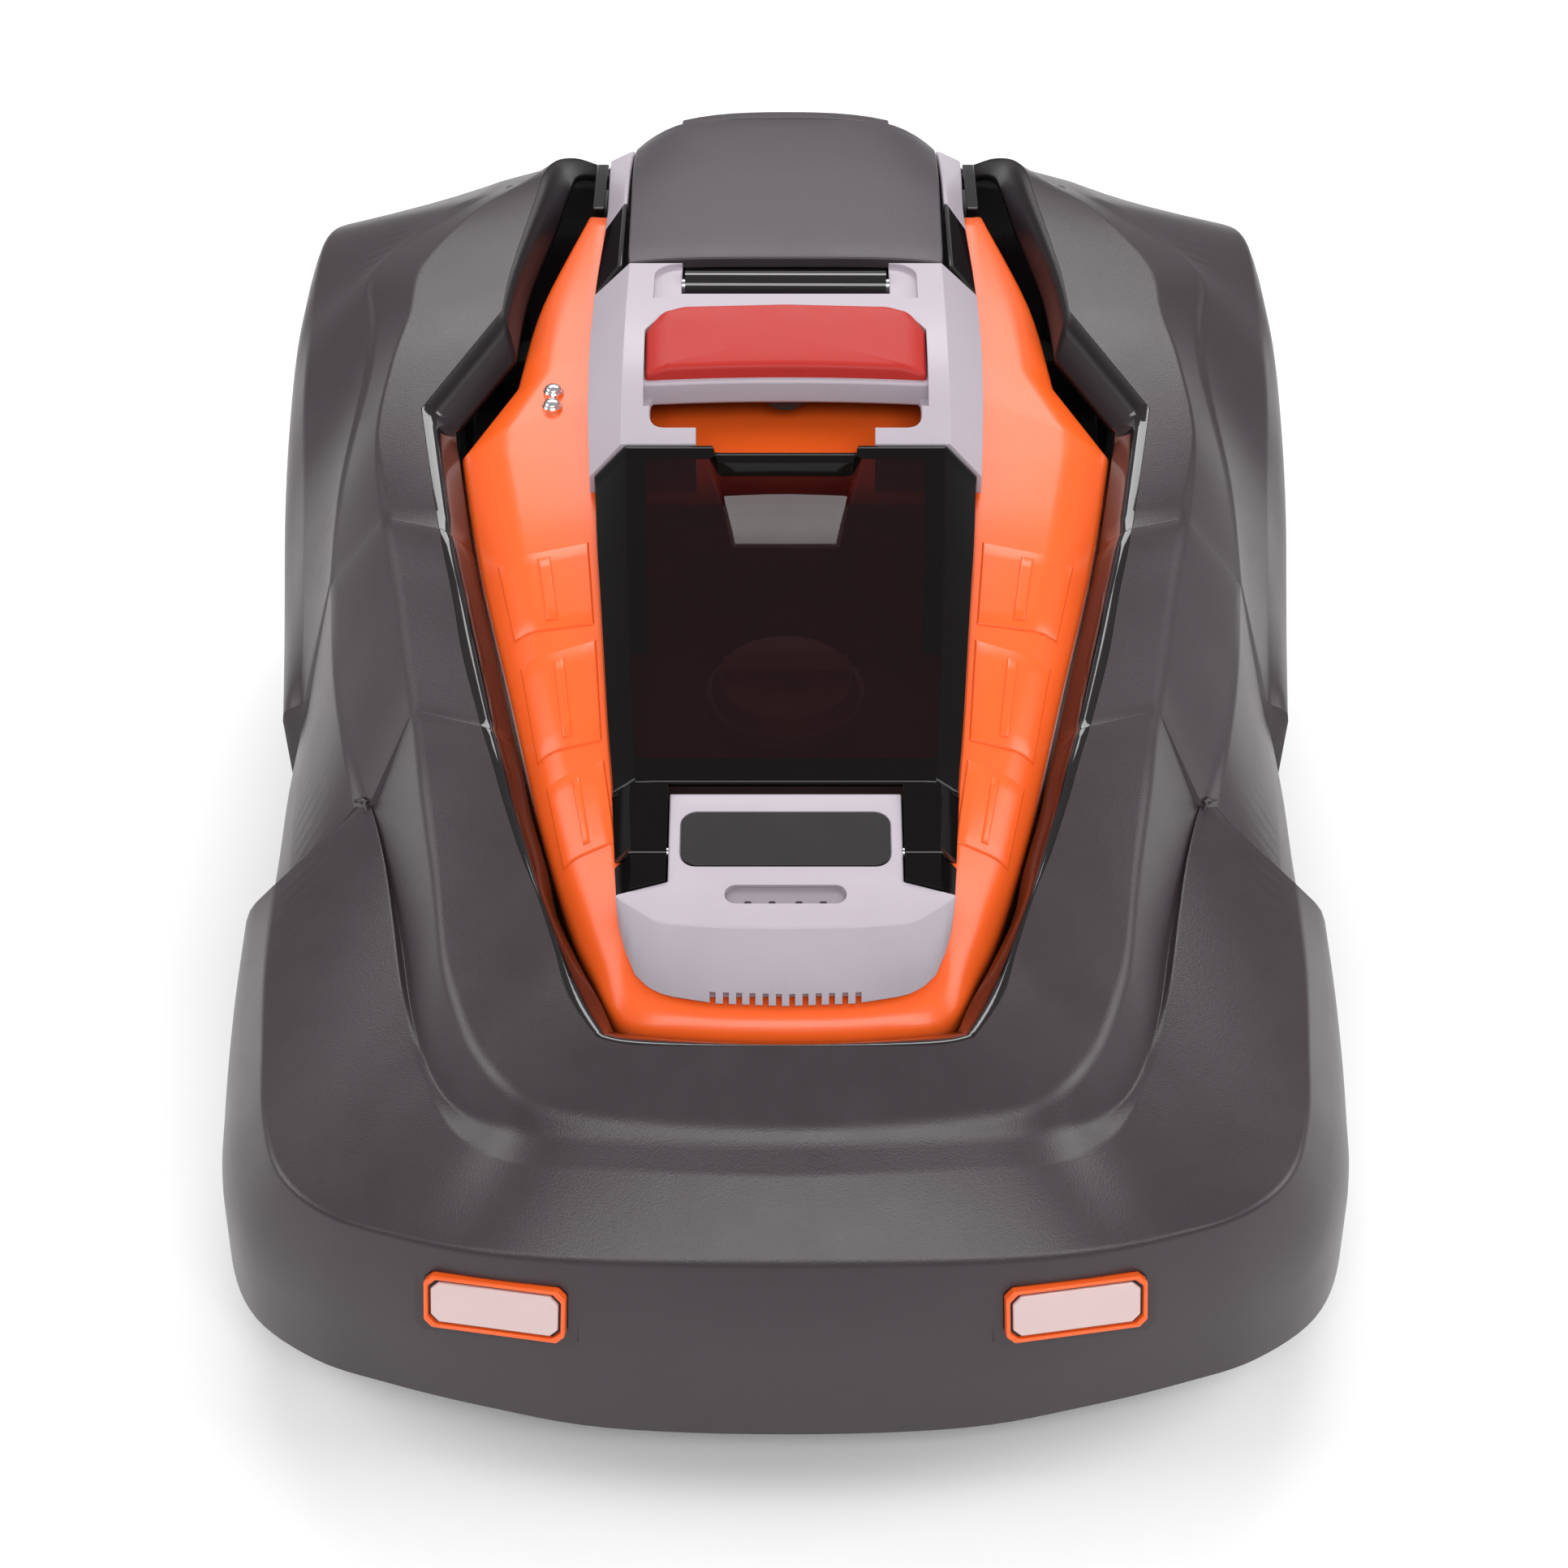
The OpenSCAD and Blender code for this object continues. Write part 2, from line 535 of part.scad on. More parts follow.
// One side of that frame between two of its sections
module beside_lid(first, last, gap) {
  loft([for (i = [first : last]) let (s = rear_sections[i], y = s[0] + (i == first ? gap : 0)) [
    [70.4, y, s[1]], [s[3], y, s[1]], [s[3], y, s[4]], [72, y, s[2]], [70.4, y, s[2]]
  ]]);
}

// The grey frame round the lid's tail
module rear_frame() {
  both_sides() beside_lid(2, 5, 0.2);
  // tail wall, down to the deck
  intersection() {
    side_profile([[264, 226.2], [277, 226.2], [278, 236], [275, 250], [271, 256.5], [264, 256.5]], 164);
    rotate([90, 0, 0]) translate([0, 0, -300]) linear_extrude(60)
      polygon([[-74, 226], [74, 226], [76, 236], [76, 241], [68, 242.5], [58, 248], [48, 256.5],
               [-48, 256.5], [-58, 248], [-68, 242.5], [-76, 241], [-76, 236]]);
  }
}

// Fixed shoulder in front of a leg of the window's hinge: inner and outer foot, outer and inner top
shoulder_front = [[44.6, -174.2, 175.1], [63, -179.4, 173.8], [57.5, -177.9, 183.8], [44.6, -174.2, 185]];
shoulder_back = [[44.6, -162.6, 179.7], [64.4, -162.6, 179.7], [57.9, -162.6, 187.7], [44.6, -162.6, 187.7]];

module side_cheeks() {
  color(c_gloss) one_mesh() both_sides() {
    beside_lid(0, 2, 0.2);
    // quarter that closes the gap beside the lid's tail
    side_profile_at(82.6, 88.5, [[216, 240], [262, 236], [262, 245], [246, 247.5], [216, 247.5]]);
    difference() {
      loft([shoulder_front, shoulder_back]);
      x_cylinder(window_axis, 4.35, 140);
    }
  }
}

module window_well() {
  color(c_black) one_mesh() difference() {
    loft([for (s = [[-128, 53, 184], [-64, 57, 198], [13, 61, 218]])
      [[-s[1], s[0], 166], [s[1], s[0], 166], [s[1], s[0], s[2]], [-s[1], s[0], s[2]]]]);
    loft([for (s = [[-126, 51, 230], [-64, 55, 230], [11, 59, 230]])
      [[-s[1], s[0], 168.5], [s[1], s[0], 168.5], [s[1], s[0], s[2]], [-s[1], s[0], s[2]]]]);
    translate([0, -50, 160]) cylinder(r = 8, h = 20);
  }
}

module rain_sensor() {
  color(c_steel) for (p = rain_places) translate([-99, p[0], p[1]]) {
    translate([0, 0, -5]) cylinder(r = 4.2, h = 5.5);
    translate([0, 0, 0.5]) cylinder(r1 = 4.2, r2 = 3.8, h = 0.6);
    translate([0, 0, 1.1]) scale([1, 1, 0.6]) intersection() {
      sphere(r = 3.6);
      cylinder(r = 5, h = 6);
    }
  }
}

module charging_contacts() {
  color(c_steel) for (x = [-32, 32]) box([x - 8.5, -220.5, 85], [x + 8.5, -193.5, 88]);
}

module battery_pack() {
  color("#2d4b6e") box([-55, 72, 66], [55, 196, 108]);
  color("#2d4b6e") box([-20, 60, 72], [20, 72, 90]);
}

module battery_cover() {
  color(c_black) {
    translate([0, 134, 59.5]) rounded_plate(128, 142, 2.5, 10);
    for (y = [90, 134, 178]) box([-40, y - 2, 58], [40, y + 2, 59.5]);
  }
}

module base_screws() {
  color(c_steel) for (x = [-57, 57], y = [70, 198]) translate([x, y, 57.5]) cylinder(r = 3.5, h = 2);
}

module main_board() {
  color("#2b7a45") {
    box([-52, 76, 128], [52, 190, 129.6]);
    for (x = [-46, 46], y = [82, 184]) translate([x, y, 108]) cylinder(r = 3, h = 20);
    box([-36, 90, 129.6], [-12, 114, 133]);
    box([8, 120, 129.6], [40, 150, 135]);
    box([-40, 140, 129.6], [-24, 180, 140]);
  }
}

module wire_sensors() {
  color("#2b7a45") both_sides() {
    box([60, -214, 89], [84, -180, 91]);
    translate([72, -197, 91]) cylinder(r = 6, h = 12);
  }
}

// ---------- drive ----------

wheel_c = [178, 160, wheel_r];

module drive_motor() {
  color(c_black) difference() {
    union() {
      box([108, 132, 76], [143, 188, 134]);
      x_cylinder([146.5, 160, wheel_r], 13.5, 7);
      x_cylinder([92, 160, 112], 17, 32);
    }
    x_cylinder([139, 160, wheel_r], 6.05, 30);
  }
}

module drive_motor_left() { drive_motor(); }
module drive_motor_right() { mirror([1, 0, 0]) drive_motor(); }

module axle() {
  color(c_steel) x_cylinder([159, 160, wheel_r], 6, 66);
}

module axle_left() { axle(); }
module axle_right() { mirror([1, 0, 0]) axle(); }

module rim() {
  color(c_grey) translate(wheel_c) rotate([0, 90, 0]) difference() {
    rotate_extrude() polygon([[6, -24], [18, -24], [18, -4], [70, -8], [74, -20], [80, -20], [80, 20],
                              [74, 20], [68, 6], [24, 10], [20, 16], [6, 16]]);
    for (i = [0 : 5]) rotate([0, 0, 60 * i]) translate([46, 0, -30]) cylinder(r = 11, h = 60);
  }
}

module rim_left() { rim(); }
module rim_right() { mirror([1, 0, 0]) rim(); }

module tyre() {
  color("#1d1c1e") translate(wheel_c) rotate([0, 90, 0]) {
    rotate_extrude() polygon([[80, -20], [92, -wheel_w / 2], [99, -18], [99, 18], [92, wheel_w / 2], [80, 20]]);
    for (i = [0 : lug_count - 1]) rotate([0, 0, 360 / lug_count * i])
      for (side = [-1, 1]) rotate([0, 0, side * 180 / lug_count / 2])
        translate([98, -3.2, side == 1 ? 0.5 : -wheel_w / 2 + 1])
          cube([wheel_r - 98 - 0.05, 6.4, wheel_w / 2 - 1.5]);
  }
}

module tyre_left() { tyre(); }
module tyre_right() { mirror([1, 0, 0]) tyre(); }

module hub_cap() {
  color(c_black) translate(wheel_c) rotate([0, 90, 0]) {
    translate([0, 0, 16]) cylinder(r = 19, h = 4);
    translate([0, 0, 20]) cylinder(r1 = 15, r2 = 12, h = 3);
  }
}

module hub_cap_left() { hub_cap(); }
module hub_cap_right() { mirror([1, 0, 0]) hub_cap(); }

// ---------- casters ----------

swivel = [115, -195, 0];
caster_c = [115, -195 + caster_trail, caster_r];

module caster_bushes() {
  color("#e0ded8") both_sides() translate(swivel) difference() {
    union() {
      translate([0, 0, 84.8]) cylinder(r = 10, h = 1.2);
      translate([0, 0, 86]) cylinder(r = 7.9, h = 26);
    }
    translate([0, 0, 80]) cylinder(r = 5.05, h = 40);
  }
}

module caster_fork() {
  color(c_black) translate(swivel) {
    cylinder_top = 113;
    translate([0, 0, 80]) cylinder(r = 5, h = cylinder_top - 80);
    difference() {
      union() {
        translate([-18, -12, 78.5]) cube([36, caster_trail + 20, 4.5]);
        translate([0, 0, 79]) cylinder(r = 9, h = 5.2);
        for (x = [-18, 14]) {
          translate([x, caster_trail - 8, caster_r]) cube([4, 16, 42]);
          translate([x + 2, caster_trail, caster_r]) rotate([0, 90, 0]) cylinder(r = 8, h = 4, center = true);
        }
      }
      translate([0, caster_trail, caster_r]) rotate([0, 90, 0]) cylinder(r = 4, h = 50, center = true);
    }
  }
}

module caster_fork_left() { caster_fork(); }
module caster_fork_right() { mirror([1, 0, 0]) caster_fork(); }

module caster_axle() {
  color(c_steel) x_cylinder(caster_c, 4, 37);
}

module caster_axle_left() { caster_axle(); }
module caster_axle_right() { mirror([1, 0, 0]) caster_axle(); }

module caster_wheel() {
  color("#1d1c1e") translate(caster_c) rotate([0, 90, 0]) rotate_extrude()
    polygon([[4.05, -13.4], [10, -13.4], [11, -10], [24, -10], [27, -13], [34, -13], [caster_r, -8],
             [caster_r, 8], [34, 13], [27, 13], [24, 10], [11, 10], [10, 13.4], [4.05, 13.4]]);
}

module caster_wheel_left() { caster_wheel(); }
module caster_wheel_right() { mirror([1, 0, 0]) caster_wheel(); }

// ---------- cutter ----------

cutter = [0, -63, 0];
knob = [0, -50, 0];

module lift_bracket() {
  color(c_steel) difference() {
    union() {
      box([-60, -84, 156], [60, -30, 160]);
      for (x = [-56, 56], y = [-80, -34]) translate([x, y, 160]) cylinder(r = 3, h = 3);
    }
    translate(knob + [0, 0, 150]) cylinder(r = 6.05, h = 20);
  }
}

module guide_rods() {
  color(c_steel) for (x = [-44, 44]) translate([x, -63, 65]) cylinder(r = 4, h = 91);
}

module cutter_carriage() {
  color(c_black) difference() {
    union() {
      box([-56, -86, 107], [56, -36, 111]);
      translate(knob + [0, 0, 111]) cylinder(r = 10, h = 39);
      for (x = [-44, 44]) translate([x, -63, 95]) cylinder(r = 8, h = 30);
    }
    translate(knob + [0, 0, 109]) cylinder(r = 6.05, h = 60);
    for (x = [-44, 44]) translate([x, -63, 90]) cylinder(r = 4.05, h = 50);
  }
}

module cutter_motor() {
  color("#8d9096") translate(cutter) difference() {
    union() {
      translate([0, 0, 70]) cylinder(r = 26, h = 37);
      translate([0, 0, 64]) cylinder(r = 12, h = 6);
    }
    translate([0, 0, 60]) cylinder(r = 4.05, h = 33);
  }
}

module blade_disc() {
  color("#7d8187") translate(cutter) {
    difference() {
      union() {
        translate([0, 0, disc_z]) cylinder(r = disc_r, h = 3);
        translate([0, 0, disc_z + 3]) cylinder(r = 14, h = 5);
      }
      for (i = [0 : 5]) rotate([0, 0, 60 * i + 30]) translate([42, 0, disc_z - 1]) cylinder(r = 9, h = 8);
      for (i = [0 : blade_count - 1]) rotate([0, 0, 120 * i]) translate([blade_pivot, 0, disc_z - 1])
        cylinder(r = 3, h = 8);
    }
    translate([0, 0, disc_z + 8]) cylinder(r = 4, h = 31);
  }
}

blade_pivot = 62;

module blade_screws() {
  color(c_steel) translate(cutter) for (i = [0 : blade_count - 1]) rotate([0, 0, 120 * i])
    translate([blade_pivot, 0, 0]) {
      translate([0, 0, disc_z - 4.4]) cylinder(r = 5.5, h = 2.2);
      translate([0, 0, disc_z - 2.2]) cylinder(r = 3, h = 5.2);
    }
}

module blade(i) {
  color(c_steel) translate(cutter) rotate([0, 0, 120 * i]) translate([blade_pivot, 0, disc_z - 1.6])
    difference() {
      linear_extrude(1) polygon([[-8, -8], [24, -8.5], [28, -5.5], [28, 5.5], [24, 8.5], [-8, 8]]);
      translate([0, 0, -1]) cylinder(r = 3.05, h = 4);
    }
}

module blade_1() { blade(0); }
module blade_2() { blade(1); }
module blade_3() { blade(2); }

module height_knob() {
  color(c_grey) translate(knob) {
    translate([0, 0, 171.5]) cylinder(r = 32, h = 5);
    translate([0, 0, 176.5]) cylinder(r1 = 30, r2 = 27, h = 7);
    // grip bar across the knob
    translate([-25, -5, 183.5]) cube([50, 10, 7]);
  }
}

module height_spindle() {
  color(c_steel) translate(knob) {
    translate([0, 0, 113]) cylinder(r = 6, h = 58.5);
    translate([0, 0, 151.2]) cylinder(r = 8.5, h = 4.6);
  }
}

// ---------- controls ----------

module stop_switch() {
  color(c_black) translate([0, 62, 0]) difference() {
    translate([0, 0, 244]) cylinder(r = 9.1, h = pocket_z - 244);
    translate([0, 0, 246.5]) cylinder(r = 4.05, h = 20);
  }
}

// Floor of the stop button's pocket, underside of the button, and the button's rise towards the tail
pocket_z = 253.4;
button_z = 258;
button_slope = 0.205;

// Plan of the stop button: its hollow front edge, then its sides and its cut rear corners
button_front = [for (x = [-58 : 14.5 : 58]) [x, 48.6 + 2.6 * (1 - pow(x / 58, 2))]];
button_plan = concat(button_front,
  [[58.3, 48.7], [58.3, 75.5], [52.5, 84], [43, 87], [0, 88.4], [-43, 87], [-52.5, 84], [-58.3, 75.5],
   [-58.3, 48.7]]);

module stop_button() {
  color(c_red) {
    one_mesh() intersection() {
      translate([0, 0, button_z]) linear_extrude(40) polygon(button_plan);
      multmatrix([[1, 0, 0, 0], [0, 1, 0, 0], [0, button_slope, 1, -48.6 * button_slope], [0, 0, 0, 1]])
        rotate([90, 0, 0]) translate([0, 0, -100]) linear_extrude(80)
          polygon([[-58.3, 240], [58.3, 240], [58.3, 263.8], [49, 266.4], [-49, 266.4], [-58.3, 263.8]]);
    }
    translate([0, 62, 251.5]) cylinder(r = 4, h = button_z - 251.5);
  }
}

// Front to back: y, top of the lid at its middle, half-width, drop of its edges
lid_sections = [[133.5, 269.6, 67.6, 2.6], [150, 270.9, 68.4, 3], [187, 271.6, 68.8, 3.8],
                [215, 271.8, 69.2, 6], [244, 271.2, 69.4, 11.5], [262, 269.4, 69.2, 17], [268.5, 266, 66, 17]];

// Top of the lid across its width: shares of the half-width and of the drop
lid_bow = [[1, 1], [0.915, 0.63], [0.8, 0.37], [0.7, 0.2], [0.35, 0.02], [0, 0]];

// A row across the lid, at its top or a step below it
function lid_row(s, down) = [
  for (k = [0 : 10]) let (b = lid_bow[5 - abs(k - 5)])
    [(k < 5 ? 1 : -1) * s[2] * b[0], s[0], s[1] - s[3] * b[1] - down]
];

module rear_lid() {
  color(c_black) one_mesh() {
    // lip along the tail
    side_profile([[256, 263], [257, 271], [267.5, 269.4], [269.5, 265.5], [268, 262]], 97);
    wall([for (s = reversed(lid_sections)) lid_row(s, 0)],
         [for (s = reversed(lid_sections)) lid_row(s, 5)]);
  }
}

lid_axis = [0, 120, 263.5];
window_axis = [0, -159, 184.5];

module lid_hinge() {
  color(c_gloss) difference() {
    union() {
      x_cylinder(lid_axis, 6.5, 86);
      box([-43, 122, 258.4], [43, 133.5, 262.8]);
      box([-43, 133.5, 258.4], [43, 150, 264.2]);
    }
    x_cylinder(lid_axis, 3.05, 130);
  }
}

module hinge_pins() {
  color(c_steel) {
    x_cylinder(lid_axis, 3, 116);
    both_sides() x_cylinder([49.25, window_axis[1], window_axis[2]], 2, 17.5);
  }
}

// Front to back: y, foot half-width and height, height of the side, top half-width and height,
// depth of the finger scoop
window_sections = [[-132, 66.4, 187.6, 2, 58.5, 196, 0], [-100, 69.5, 196.4, 3, 60.5, 206.5, 0],
                   [-64, 72.5, 206.2, 4.5, 62.5, 219.5, 0], [-24, 76, 216, 7, 64.5, 234.6, 0],
                   [-8, 77.2, 219.4, 8, 65, 240.6, 5], [8, 78.2, 222.6, 9, 65.5, 246.6, 9],
                   [17.5, 79, 224.8, 10, 66, 250, 10]];

function window_row(s, t) = [
  [-s[1] + t, s[0], s[2]], [-s[1] + 0.8 + t, s[0], s[2] + s[3]], [-s[4] + t * 0.6, s[0], s[5] - t],
  [-33, s[0], s[5] - t], [-25, s[0], s[5] - s[6] - t],
  [0, s[0], s[5] - s[6] * 1.15 - t],
  [25, s[0], s[5] - s[6] - t], [33, s[0], s[5] - t],
  [s[4] - t * 0.6, s[0], s[5] - t], [s[1] - 0.8 - t, s[0], s[2] + s[3]], [s[1] - t, s[0], s[2]]
];

module window_cover() {
  color("#1a1416") one_mesh()
    wall([for (s = window_sections) window_row(s, 0)], [for (s = window_sections) window_row(s, 2.6)]);
}

// Legs beside the badge plate, front to back: y, underside, top, half-width at the foot and at the top
leg_sections = [[-159, 180.6, 188.4, 64.6, 58], [-145, 184.4, 192.3, 65.6, 58.2],
                [-132.1, 187.8, 195.9, 66.3, 58.4]];

module window_hinges() {
  color(c_gloss) both_sides() difference() {
    union() {
      loft([for (s = leg_sections)
        [[44.6, s[0], s[1]], [s[3], s[0], s[1]], [s[4], s[0], s[2]], [44.6, s[0], s[2]]]]);
      // rounded front end about the pin
      x_cylinder([51.3, window_axis[1], window_axis[2]], 4, 13.4);
      // tongue under the window
      loft([for (s = [[-135, 189.3, 192.37], [-120, 193.8, 197.29]])
        [[47.6, s[0], s[1]], [54, s[0], s[1]], [54, s[0], s[2]], [47.6, s[0], s[2]]]]);
    }
    x_cylinder([50, window_axis[1], window_axis[2]], 2.05, 40);
  }
}

module control_panel() {
  color(c_black) difference() {
    union() {
      box([-57.5, 150.5, 216], [57.5, 257.5, 226.1]);
      box([-64, 142, 226.1], [64, 264, 236]);
    }
    box([-34.2, 200, 234], [34.2, 242, 240]);
    for (x = key_places) translate([x, 174, 220]) cylinder(r = 3.05, h = 20);
  }
}

key_places = [-39, -13, 13, 39];

module display_screen() {
  color("#5c6f63") box([-34, 200.2, 234], [34, 241.8, 236.6]);
}

module key(x) {
  color(c_grey) translate([x, 174, 0]) {
    translate([0, 0, 237.4]) rounded_plate(18, 14, 3.6, 3);
    translate([0, 0, 224]) cylinder(r = 3, h = 13.4);
  }
}

module key_power() { key(key_places[0]); }
module key_start() { key(key_places[1]); }
module key_home() { key(key_places[2]); }
module key_ok() { key(key_places[3]); }

// ---------- what is drawn ----------

chassis_tub();
orange_cover();
centre_frame();
side_cheeks();
window_well();
badge_plate();
status_light();
rain_sensor();
charging_contacts();
battery_pack();
battery_cover();
base_screws();
main_board();
wire_sensors();
drive_motor_left();
drive_motor_right();
caster_bushes();
lift_bracket();
guide_rods();
control_panel();
display_screen();
stop_switch();
hinge_pins();
rim_left();
tyre_left();
axle_left();
hub_cap_left();
rim_right();
tyre_right();
axle_right();
hub_cap_right();
caster_fork_left();
caster_axle_left();
caster_wheel_left();
caster_fork_right();
caster_axle_right();
caster_wheel_right();
cutter_carriage();
cutter_motor();
blade_disc();
blade_screws();
blade_1();
blade_2();
blade_3();
height_knob();
height_spindle();
stop_button();
rear_lid();
lid_hinge();
window_cover();
window_hinges();
key_power();
key_start();
key_home();
key_ok();
post_boots();
outer_shell();
shell_trim();
reflector_frames();
reflector_lenses();
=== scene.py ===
import json
import math

import bmesh
import bpy
from mathutils import Matrix, Vector
from mathutils.bvhtree import BVHTree


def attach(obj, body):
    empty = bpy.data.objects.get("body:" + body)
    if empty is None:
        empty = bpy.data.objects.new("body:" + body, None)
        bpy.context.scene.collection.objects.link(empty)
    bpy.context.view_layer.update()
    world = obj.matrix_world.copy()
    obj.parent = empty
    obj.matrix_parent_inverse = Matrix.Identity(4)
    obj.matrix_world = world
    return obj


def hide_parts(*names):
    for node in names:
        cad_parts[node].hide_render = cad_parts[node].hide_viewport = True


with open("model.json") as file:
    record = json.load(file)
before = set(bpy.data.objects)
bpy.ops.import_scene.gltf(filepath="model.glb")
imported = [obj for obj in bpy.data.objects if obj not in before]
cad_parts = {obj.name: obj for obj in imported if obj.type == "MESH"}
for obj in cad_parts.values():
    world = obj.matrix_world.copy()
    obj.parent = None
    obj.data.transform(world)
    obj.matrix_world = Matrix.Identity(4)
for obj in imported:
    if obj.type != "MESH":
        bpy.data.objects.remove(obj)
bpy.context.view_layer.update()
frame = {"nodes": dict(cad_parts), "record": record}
nodes = frame["nodes"]
scene = bpy.context.scene
MM = 0.001

# ---------- camera, floor and light ----------

scene.view_settings.view_transform = "Standard"
scene.view_settings.look = "None"
camera_data = bpy.data.cameras.new("camera")
camera_data.lens = 69.5
camera_data.sensor_width = 36
camera_data.shift_x = -0.001
camera = bpy.data.objects.new("camera", camera_data)
scene.collection.objects.link(camera)
camera.location = (0, -1.0139, 0.9356)
camera.rotation_euler = (math.radians(50), 0, 0)
scene.camera = camera


def socket(node, name):
    return node.inputs[name]


def new_material(name):
    material = bpy.data.materials.new(name)
    material.use_nodes = True
    return material, material.node_tree.nodes, material.node_tree.links


def plastic(name, color, rough, grain=900.0, bump=0.08, depth=0.00012, variation=0.12, mottle=60.0,
            coat=0.0, coat_rough=0.1, ior=1.5, metal=0.0, gloss=0.5, rough_spread=0.12):
    """Moulded plastic, rubber or metal: a fine grain, faint mottling and uneven gloss."""
    material, n, l = new_material(name)
    shader = n["Principled BSDF"]
    socket(shader, "Metallic").default_value = metal
    socket(shader, "IOR").default_value = ior
    socket(shader, "Coat Weight").default_value = coat
    socket(shader, "Coat Roughness").default_value = coat_rough
    socket(shader, "Specular IOR Level").default_value = gloss
    place = n.new("ShaderNodeTexCoord")
    broad = n.new("ShaderNodeTexNoise")
    socket(broad, "Scale").default_value = mottle
    socket(broad, "Detail").default_value = 4
    l.new(place.outputs["Object"], broad.inputs["Vector"])
    mix = n.new("ShaderNodeMix")
    mix.data_type = "RGBA"
    low = [c * (1 - variation) for c in color]
    high = [min(1, c * (1 + variation)) for c in color]
    mix.inputs[6].default_value = (*low, 1)
    mix.inputs[7].default_value = (*high, 1)
    l.new(broad.outputs["Fac"], mix.inputs[0])
    l.new(mix.outputs[2], socket(shader, "Base Color"))
    fine = n.new("ShaderNodeTexNoise")
    socket(fine, "Scale").default_value = grain
    socket(fine, "Detail").default_value = 3
    l.new(place.outputs["Object"], fine.inputs["Vector"])
    spread = n.new("ShaderNodeMapRange")
    spread.inputs["To Min"].default_value = max(0.02, rough * (1 - rough_spread))
    spread.inputs["To Max"].default_value = min(1, rough * (1 + rough_spread))
    l.new(broad.outputs["Fac"], spread.inputs["Value"])
    l.new(spread.outputs["Result"], socket(shader, "Roughness"))
    relief = n.new("ShaderNodeBump")
    socket(relief, "Strength").default_value = bump
    socket(relief, "Distance").default_value = depth
    l.new(fine.outputs["Fac"], relief.inputs["Height"])
    l.new(relief.outputs["Normal"], socket(shader, "Normal"))
    return material


def brushed(name, color, rough):
    material = plastic(name, color, rough, grain=500, bump=0.12, depth=0.00005, variation=0.08,
                       mottle=200, metal=1.0)
    return material


M = {
    "shell": plastic("shell_plastic", (0.030, 0.0215, 0.026), 0.36, gloss=0.5, grain=1400, bump=0.35,
                     depth=0.00025),
    "gloss": plastic("gloss_black", (0.008, 0.006, 0.007), 0.07, grain=300, bump=0.015, coat=0.3,
                     coat_rough=0.03),
    "side_black": plastic("side_black", (0.010, 0.007, 0.009), 0.36, grain=1400, bump=0.2, gloss=0.22),
    "orange": plastic("orange_gloss", (0.93, 0.120, 0.016), 0.30, gloss=0.35, grain=700, bump=0.04,
                      variation=0.03, coat=0.15, coat_rough=0.12),
    "grey": plastic("light_grey", (0.43, 0.38, 0.428), 0.40, gloss=0.4, grain=1200, bump=0.12,
                    variation=0.03),
    # the slot's floor: the nose's light grey, darkened to paint the shade in the recess
    "grey_painted_shade": plastic("slot_grey_painted_shade", (0.23, 0.20, 0.228), 0.45, grain=900, bump=0.1, variation=0.05),
    "lid": plastic("lid_plastic", (0.043, 0.033, 0.040), 0.44, gloss=0.45, grain=1400, bump=0.35,
                   depth=0.00025),
    "chassis": plastic("chassis_plastic", (0.022, 0.022, 0.024), 0.45, grain=1100, bump=0.25),
    "steel": brushed("steel", (0.62, 0.62, 0.64), 0.28),
    "chrome": brushed("chrome", (0.85, 0.85, 0.87), 0.08),
    "battery": plastic("battery_blue", (0.05, 0.09, 0.18), 0.4),
    "board": plastic("board_green", (0.03, 0.18, 0.07), 0.35, mottle=220, variation=0.3),
    "bush": plastic("bush_plastic", (0.75, 0.73, 0.68), 0.4),
    "rim": plastic("rim_plastic", (0.24, 0.225, 0.25), 0.42, grain=1200, bump=0.2),
    "tyre": plastic("tyre_rubber", (0.022, 0.021, 0.021), 0.72, grain=600, bump=0.4, depth=0.0003,
                    variation=0.25),
    "boot": plastic("boot_rubber", (0.03, 0.03, 0.03), 0.7, bump=0.3),
    "motor": brushed("motor_metal", (0.45, 0.46, 0.48), 0.35),
    "red": plastic("button_red", (0.42, 0.020, 0.015), 0.46, gloss=0.25, grain=1300, bump=0.2,
                   variation=0.04, coat=0.03, coat_rough=0.3),
    "smoked": plastic("smoked", (0.010, 0.003, 0.004), 0.05, grain=200, bump=0.01, ior=1.4, gloss=0.35),
    "smoked_frame": plastic("smoked_frame", (0.003, 0.002, 0.002), 0.07, grain=200, bump=0.01,
                            ior=1.4, gloss=0.3),
    "screen": plastic("screen", (0.18, 0.24, 0.19), 0.12, bump=0.01),
    "lens": plastic("reflector_lens", (0.62, 0.46, 0.45), 0.18, grain=900, bump=0.3, variation=0.05,
                    coat=0.6),
    "label": plastic("label_black", (0.014, 0.012, 0.013), 0.40, gloss=0.3, grain=900, bump=0.06),
    "floor": plastic("floor_paint", (0.92, 0.92, 0.92), 0.9, grain=300, bump=0.02, variation=0.005, mottle=8),
}


def let_through(material, share):
    """Lets a share of the light straight through, as a smoked window does."""
    n, l = material.node_tree.nodes, material.node_tree.links
    clear = n.new("ShaderNodeBsdfTransparent")
    clear.inputs["Color"].default_value = (1.0, 0.72, 0.68, 1)
    mix = n.new("ShaderNodeMixShader")
    mix.inputs["Fac"].default_value = 1 - share
    l.new(clear.outputs["BSDF"], mix.inputs[1])
    l.new(n["Principled BSDF"].outputs["BSDF"], mix.inputs[2])
    l.new(mix.outputs["Shader"], n["Material Output"].inputs["Surface"])


let_through(M["smoked"], 0.32)


bpy.ops.mesh.primitive_plane_add(size=8, location=(0, 0, 0))
floor = bpy.context.object
floor.name = "floor"
floor.data.materials.append(M["floor"])

